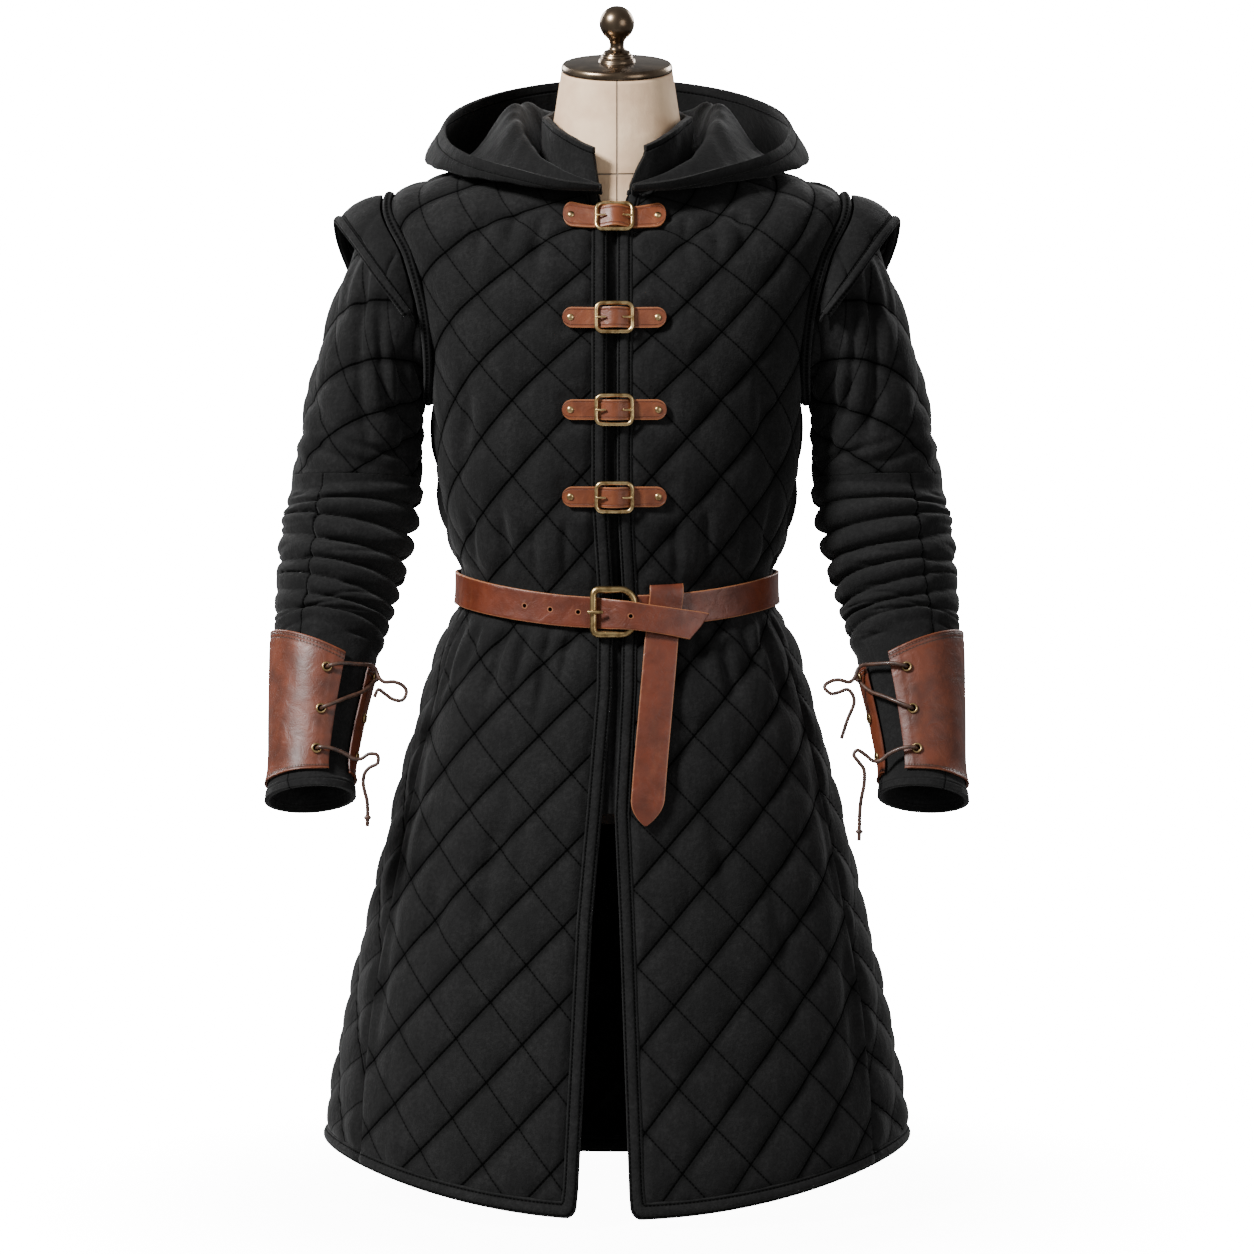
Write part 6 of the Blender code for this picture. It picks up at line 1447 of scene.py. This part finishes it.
for word, side in (("left", 1), ("right", -1)):
    holes = []
    for where, degree in (("front", 98), ("far", 167)):
        for number, row in enumerate((8.53, 9.17, 9.87), 1):
            spot = Vector(on_arm(row, degree, 0.0046) * (side, 1, 1))
            direction = Vector((on_arm(row, degree, 0.02) - on_arm(row, degree)) * (side, 1, 1)).normalized()
            holes.append((spot, direction))
            bpy.ops.object.select_all(action="DESELECT")
            bpy.ops.mesh.primitive_torus_add(
                major_segments=36, minor_segments=14, major_radius=0.0044, minor_radius=0.0011,
                location=spot + direction * 0.0016, rotation=turned_to(direction).to_euler(),
            )
            eyelet = bpy.context.object
            put_in_place(eyelet, f"brass_eyelet_{word}_{where}_{number}", brass)
            settle(eyelet, "old brass", f"eyelet_{word}_{where}_{number}")
    cut_holes(bpy.data.objects["bracer_cuff_" + word], holes, radius=0.0033)

# ---------------------------------------------------------------------------------------------------------------
# Closures
# Four leather tabs in two parts, riveted to the fronts. The longer part passes through a brass frame and is held by
# two prongs. Each rivet has a low dome.

# half a tab's width, its thickness, and where the closures sit, a little to the right of the body's middle
tab_half, tab_wall, tab_aside = 0.0105, 0.0026, -0.0025
tab_leather = brown_leather("tab leather", edges=(-tab_half, tab_half), deep=(0.095, 0.022, 0.0070),
                            mid=(0.170, 0.043, 0.0135), pale=(0.42, 0.16, 0.062), rough=0.42)
bright_brass = old_brass("handled brass", (0.30, 0.19, 0.080), (0.74, 0.54, 0.27), 0.28)
# how far a tab rises over the frame's bar, at lengths from the bar
rise_lengths = (-0.0540, -0.0240, -0.0165, -0.0115, -0.0060, 0.0, 0.0060, 0.0115, 0.0165, 0.0240, 0.0540)
rises = (0, 0, 0.0002, 0.0030, 0.0062, 0.0072, 0.0062, 0.0030, 0.0002, 0, 0)


def out_of_body(length, up):
    return Vector(on_body(length, up, 0.01) - on_body(length, up)).normalized()


def bent_rod(name, finish, points, radius, spot, turn):
    """A cast ring, from a closed curve through flat points, turned and put in its place."""
    path = bpy.data.curves.new(name, "CURVE")
    path.dimensions = "3D"
    path.bevel_depth = radius
    path.bevel_resolution = 5
    spline = path.splines.new("POLY")
    spline.points.add(len(points) - 1)
    for knot, (x, y) in zip(spline.points, points):
        knot.co = (x, y, 0, 1)
    spline.use_cyclic_u = True
    rod = bpy.data.objects.new(name, path)
    bpy.context.scene.collection.objects.link(rod)
    rod.matrix_world = Matrix.Translation(spot) @ turn.to_4x4()
    bpy.ops.object.select_all(action="DESELECT")
    bpy.context.view_layer.objects.active = rod
    rod.select_set(True)
    bpy.ops.object.convert(target="MESH")
    rod = bpy.context.object
    put_in_place(rod, name, finish, sharp=50)
    return rod


def prong(name, finish, spot, turn, near, far, long):
    """A round prong with a blunt point."""
    bpy.ops.object.select_all(action="DESELECT")
    bpy.ops.mesh.primitive_cone_add(
        vertices=20, radius1=near, radius2=far, depth=long, location=spot, rotation=turn.to_euler()
    )
    pin = bpy.context.object
    bpy.ops.object.transform_apply(location=True, rotation=True, scale=True)
    blunt = pin.modifiers.new("blunt", "BEVEL")
    blunt.width = far * 0.6
    blunt.segments = 3
    blunt.limit_method = "ANGLE"
    bpy.ops.object.modifier_apply(modifier=blunt.name)
    put_in_place(pin, name, finish, sharp=50)
    return pin


# half the width and height of the frame, the radius of its corners, and half its rod's thickness
frame_wide, frame_high, frame_corner, frame_rod = 0.0188, 0.0150, 0.0065, 0.0022
frame_loop = []
for quarter, (sx, sy) in enumerate(((1, 1), (-1, 1), (-1, -1), (1, -1))):
    for angle in np.radians(90 * quarter + np.linspace(0, 90, 9)):
        x = sx * (frame_wide - frame_corner) + frame_corner * math.cos(angle)
        frame_loop.append((x, sy * (frame_high - frame_corner) + frame_corner * math.sin(angle)))
for number, (height, lift) in enumerate(zip(closure_heights, (0.0044, 0.0034, 0.0036, 0.0033)), 1):
    up = float(up_at_height(height))
    for word, start, end in (("right", -0.0540, 0.0180), ("left", 0.0184, 0.0540)):
        length = start + (end - start) * (1 - np.cos(np.linspace(0, 1, 60) * math.pi)) / 2
        # the outer end of each part is rounded
        from_end = (length - start if word == "right" else end - length) / tab_half
        half = tab_half * np.sqrt(np.clip(1 - np.clip(1 - from_end, 0, 0.992) ** 2, 0, 1))
        across = np.linspace(-1, 1, 15)[:, None]
        out = lift + tab_wall + np.interp(length, rise_lengths, rises)
        out = np.convolve(np.pad(out, 2, mode="edge"), np.ones(5) / 5, mode="valid")
        spots = on_body(length + tab_aside, up_at_height(height + across * half), out)
        laid = flat_places(across * tab_half, length)
        tab = grid_piece(f"closure_{number}_strap_{word}", tab_leather, spots, laid, sharp=60)
        give_thickness(tab, thickness=tab_wall, round_edge=0.0007)
        settle(tab, "brown leather", f"closure_{number}_tab_{word}")
        at = tab_aside + (0.0455 if word == "left" else -0.0455)
        bpy.ops.object.select_all(action="DESELECT")
        bpy.ops.mesh.primitive_uv_sphere_add(segments=24, ring_count=14, radius=0.0038)
        rivet = bpy.context.object
        rivet.scale = (1, 1, 0.55)
        rivet.rotation_euler = turned_to(out_of_body(at, up)).to_euler()
        rivet.location = Vector(on_body(at, up, lift + 0.0024))
        put_in_place(rivet, f"closure_{number}_rivet_{word}", bright_brass)
        settle(rivet, "old brass")
    turn = turned_to(out_of_body(tab_aside, up))
    spot = Vector(on_body(tab_aside, up, lift + tab_wall + 0.0030))
    ring = bent_rod(f"closure_{number}_frame", bright_brass, frame_loop, frame_rod, spot, turn)
    settle(ring, "old brass", f"closure_{number}_buckle")
    for word, side in (("left", 1), ("right", -1)):
        at = spot + turn @ Vector((side * 0.0140, 0, 0.0008 + frame_rod * 0.9))
        leaning = turn @ Matrix.Rotation(math.radians(-side * 82), 3, "Y")
        pin = prong(f"closure_{number}_prong_{word}", bright_brass, at, leaning, 0.0013, 0.0010, 0.0110)
        settle(pin, "old brass")

# ---------------------------------------------------------------------------------------------------------------
# Belt
# A long strap of the same leather, worn once round and through its buckle. The end goes under the belt and down
# over it, and hangs in front. Its edges are burnished and its holes worn pale.

# half the belt's width, its thickness, how far out its underside lies, and its row of the body
belt_half, belt_wall, belt_out, belt_row = 0.0165, 0.0034, 0.0038, 7.5
belt_holes = (-0.0965, -0.0690, -0.0400, 0.0140)
girth = 2 * float(np.interp(belt_row, net_rows, half_girths))
belt_leather = brown_leather(
    "belt leather", edges=(-belt_half, belt_half), holes=[girth + at for at in belt_holes],
    deep=(0.066, 0.0128, 0.0045), mid=(0.122, 0.0240, 0.0084), pale=(0.40, 0.16, 0.068), rough=0.38,
    ditch_share=0.0, worn=0.10,
)
# length round from the front, row of the body, and how far out the strap's underside is
belt_front = np.array(
    (
        (-0.115, 7.50, 0.0038), (-0.090, 7.49, 0.0038), (-0.060, 7.47, 0.0038), (-0.030, 7.45, 0.0038),
        (-0.020, 7.44, 0.0044), (-0.010, 7.42, 0.0088), (0.002, 7.40, 0.0143), (0.014, 7.37, 0.0168),
        (0.026, 7.31, 0.0166), (0.040, 7.22, 0.0158), (0.060, 7.06, 0.0152), (0.078, 6.90, 0.0142),
    )
)
back_lengths = np.linspace(0.0215, girth - 0.138, 230)
front_lengths = np.linspace(-0.137, 0.078, 110)
front_rows, front_outs = smooth(belt_front[:, 0], belt_front[:, 1:], front_lengths).T
rows = np.concatenate([belt_row + 0 * back_lengths, front_rows])
outs = np.concatenate([belt_out + 0 * back_lengths, front_outs])
along = np.concatenate([back_lengths, front_lengths + girth])
length = (along + girth / 2) % girth - girth / 2
across = np.linspace(-1, 1, 11)[:, None]
# the part that has passed the buckle leans as it goes down to its own loop
passed = (outs > 0.0058) & (length > -0.1)
lean = np.where(passed, np.clip((length - 0.03) / 0.04, 0, 1), 0)
at_row = rows + across * 0.40
round_it = length + (0.003 + 0.012 * across) * lean
round_it = round_it / (girth / 2) * np.interp(at_row, net_rows, half_girths)
bowed = 0.0004 * np.cos(across * 1.5) - 0.0002
spots = on_body(round_it, up_at_row(at_row), outs + belt_wall + bowed)
belt = grid_piece("belt_strap", belt_leather, spots, flat_places(across * belt_half, along), sharp=60)
give_thickness(belt, thickness=belt_wall, round_edge=0.0008)
holes = []
for at in belt_holes:
    row, out = smooth(belt_front[:, 0], belt_front[:, 1:], at)
    up = float(up_at_row(row))
    holes.append((Vector(on_body(at, up, out + belt_wall / 2)), out_of_body(at, up)))
cut_holes(belt, holes, radius=0.0022)
settle(belt, "brown leather", "belt")

# height, across, and how far out the underside of the hanging end is, from its point upwards
tail_rows = np.array(
    (
        (0.4170, 0.0295, 0.0085), (0.4450, 0.0318, 0.0090), (0.4800, 0.0345, 0.0090), (0.5250, 0.0385, 0.0090),
        (0.5700, 0.0425, 0.0088), (0.6120, 0.0462, 0.0086), (0.6400, 0.0490, 0.0088), (0.6610, 0.0508, 0.0086),
        (0.6660, 0.0510, 0.0070), (0.6690, 0.0512, 0.0042),
    )
)
heights = np.concatenate([np.linspace(0.6690, 0.4460, 90), np.linspace(0.4440, 0.4172, 22)])[:, None]
middle, out = np.moveaxis(smooth(tail_rows[:, 0], tail_rows[:, 1:], heights), -1, 0)
point = np.clip((0.4450 - heights) / 0.0280, 0, 1)
half = 0.0162 * (1 - point**2.1) + 0.0009
across = np.linspace(1, -1, 11)
sway = 0.0006 * np.sin(heights * 40 + 1) * np.clip((0.64 - heights) / 0.1, 0, 1)
spots = on_body(middle + half * across, up_at_height(heights), out + belt_wall + sway)
tail = grid_piece("belt_hanging_end", belt_leather, spots, flat_places(across * belt_half, heights + 9), sharp=60)
give_thickness(tail, thickness=belt_wall, round_edge=0.0008)
settle(tail, "brown leather", "belt_tail")

up = float(up_at_row(7.48))
turn = turned_to(out_of_body(0.0, up))
spot = Vector(on_body(-0.0030, up, belt_out + belt_wall + 0.0044))
# a straight bar on the left of the frame, small corners, and a half round on its right
corner = [(-0.0212, 0.0195), (-0.0203, 0.0213), (-0.0188, 0.0226), (-0.0168, 0.0234), (-0.0145, 0.0235)]
bow, bow_x, bow_y = 0.0150, 0.0065, 0.0085
loop = [(-0.0215, y) for y in np.linspace(-0.0175, 0.0175, 5)] + corner
for degree in range(90, -91, -10):
    angle = math.radians(degree)
    loop.append((bow_x + bow * math.cos(angle), bow_y * np.sign(degree) + bow * math.sin(angle)))
loop += [(x, -y) for x, y in corner[::-1]]
ring = bent_rod("belt_frame", brass, loop, 0.0038, spot, turn)
settle(ring, "old brass", "belt_buckle")
at = spot + turn @ Vector((-0.0195, 0, 0.0060))
pin = prong("belt_pin", brass, at, turn @ Matrix.Rotation(math.radians(84), 3, "Y"), 0.0020, 0.0017, 0.0170)
settle(pin, "old brass", "belt_prong")
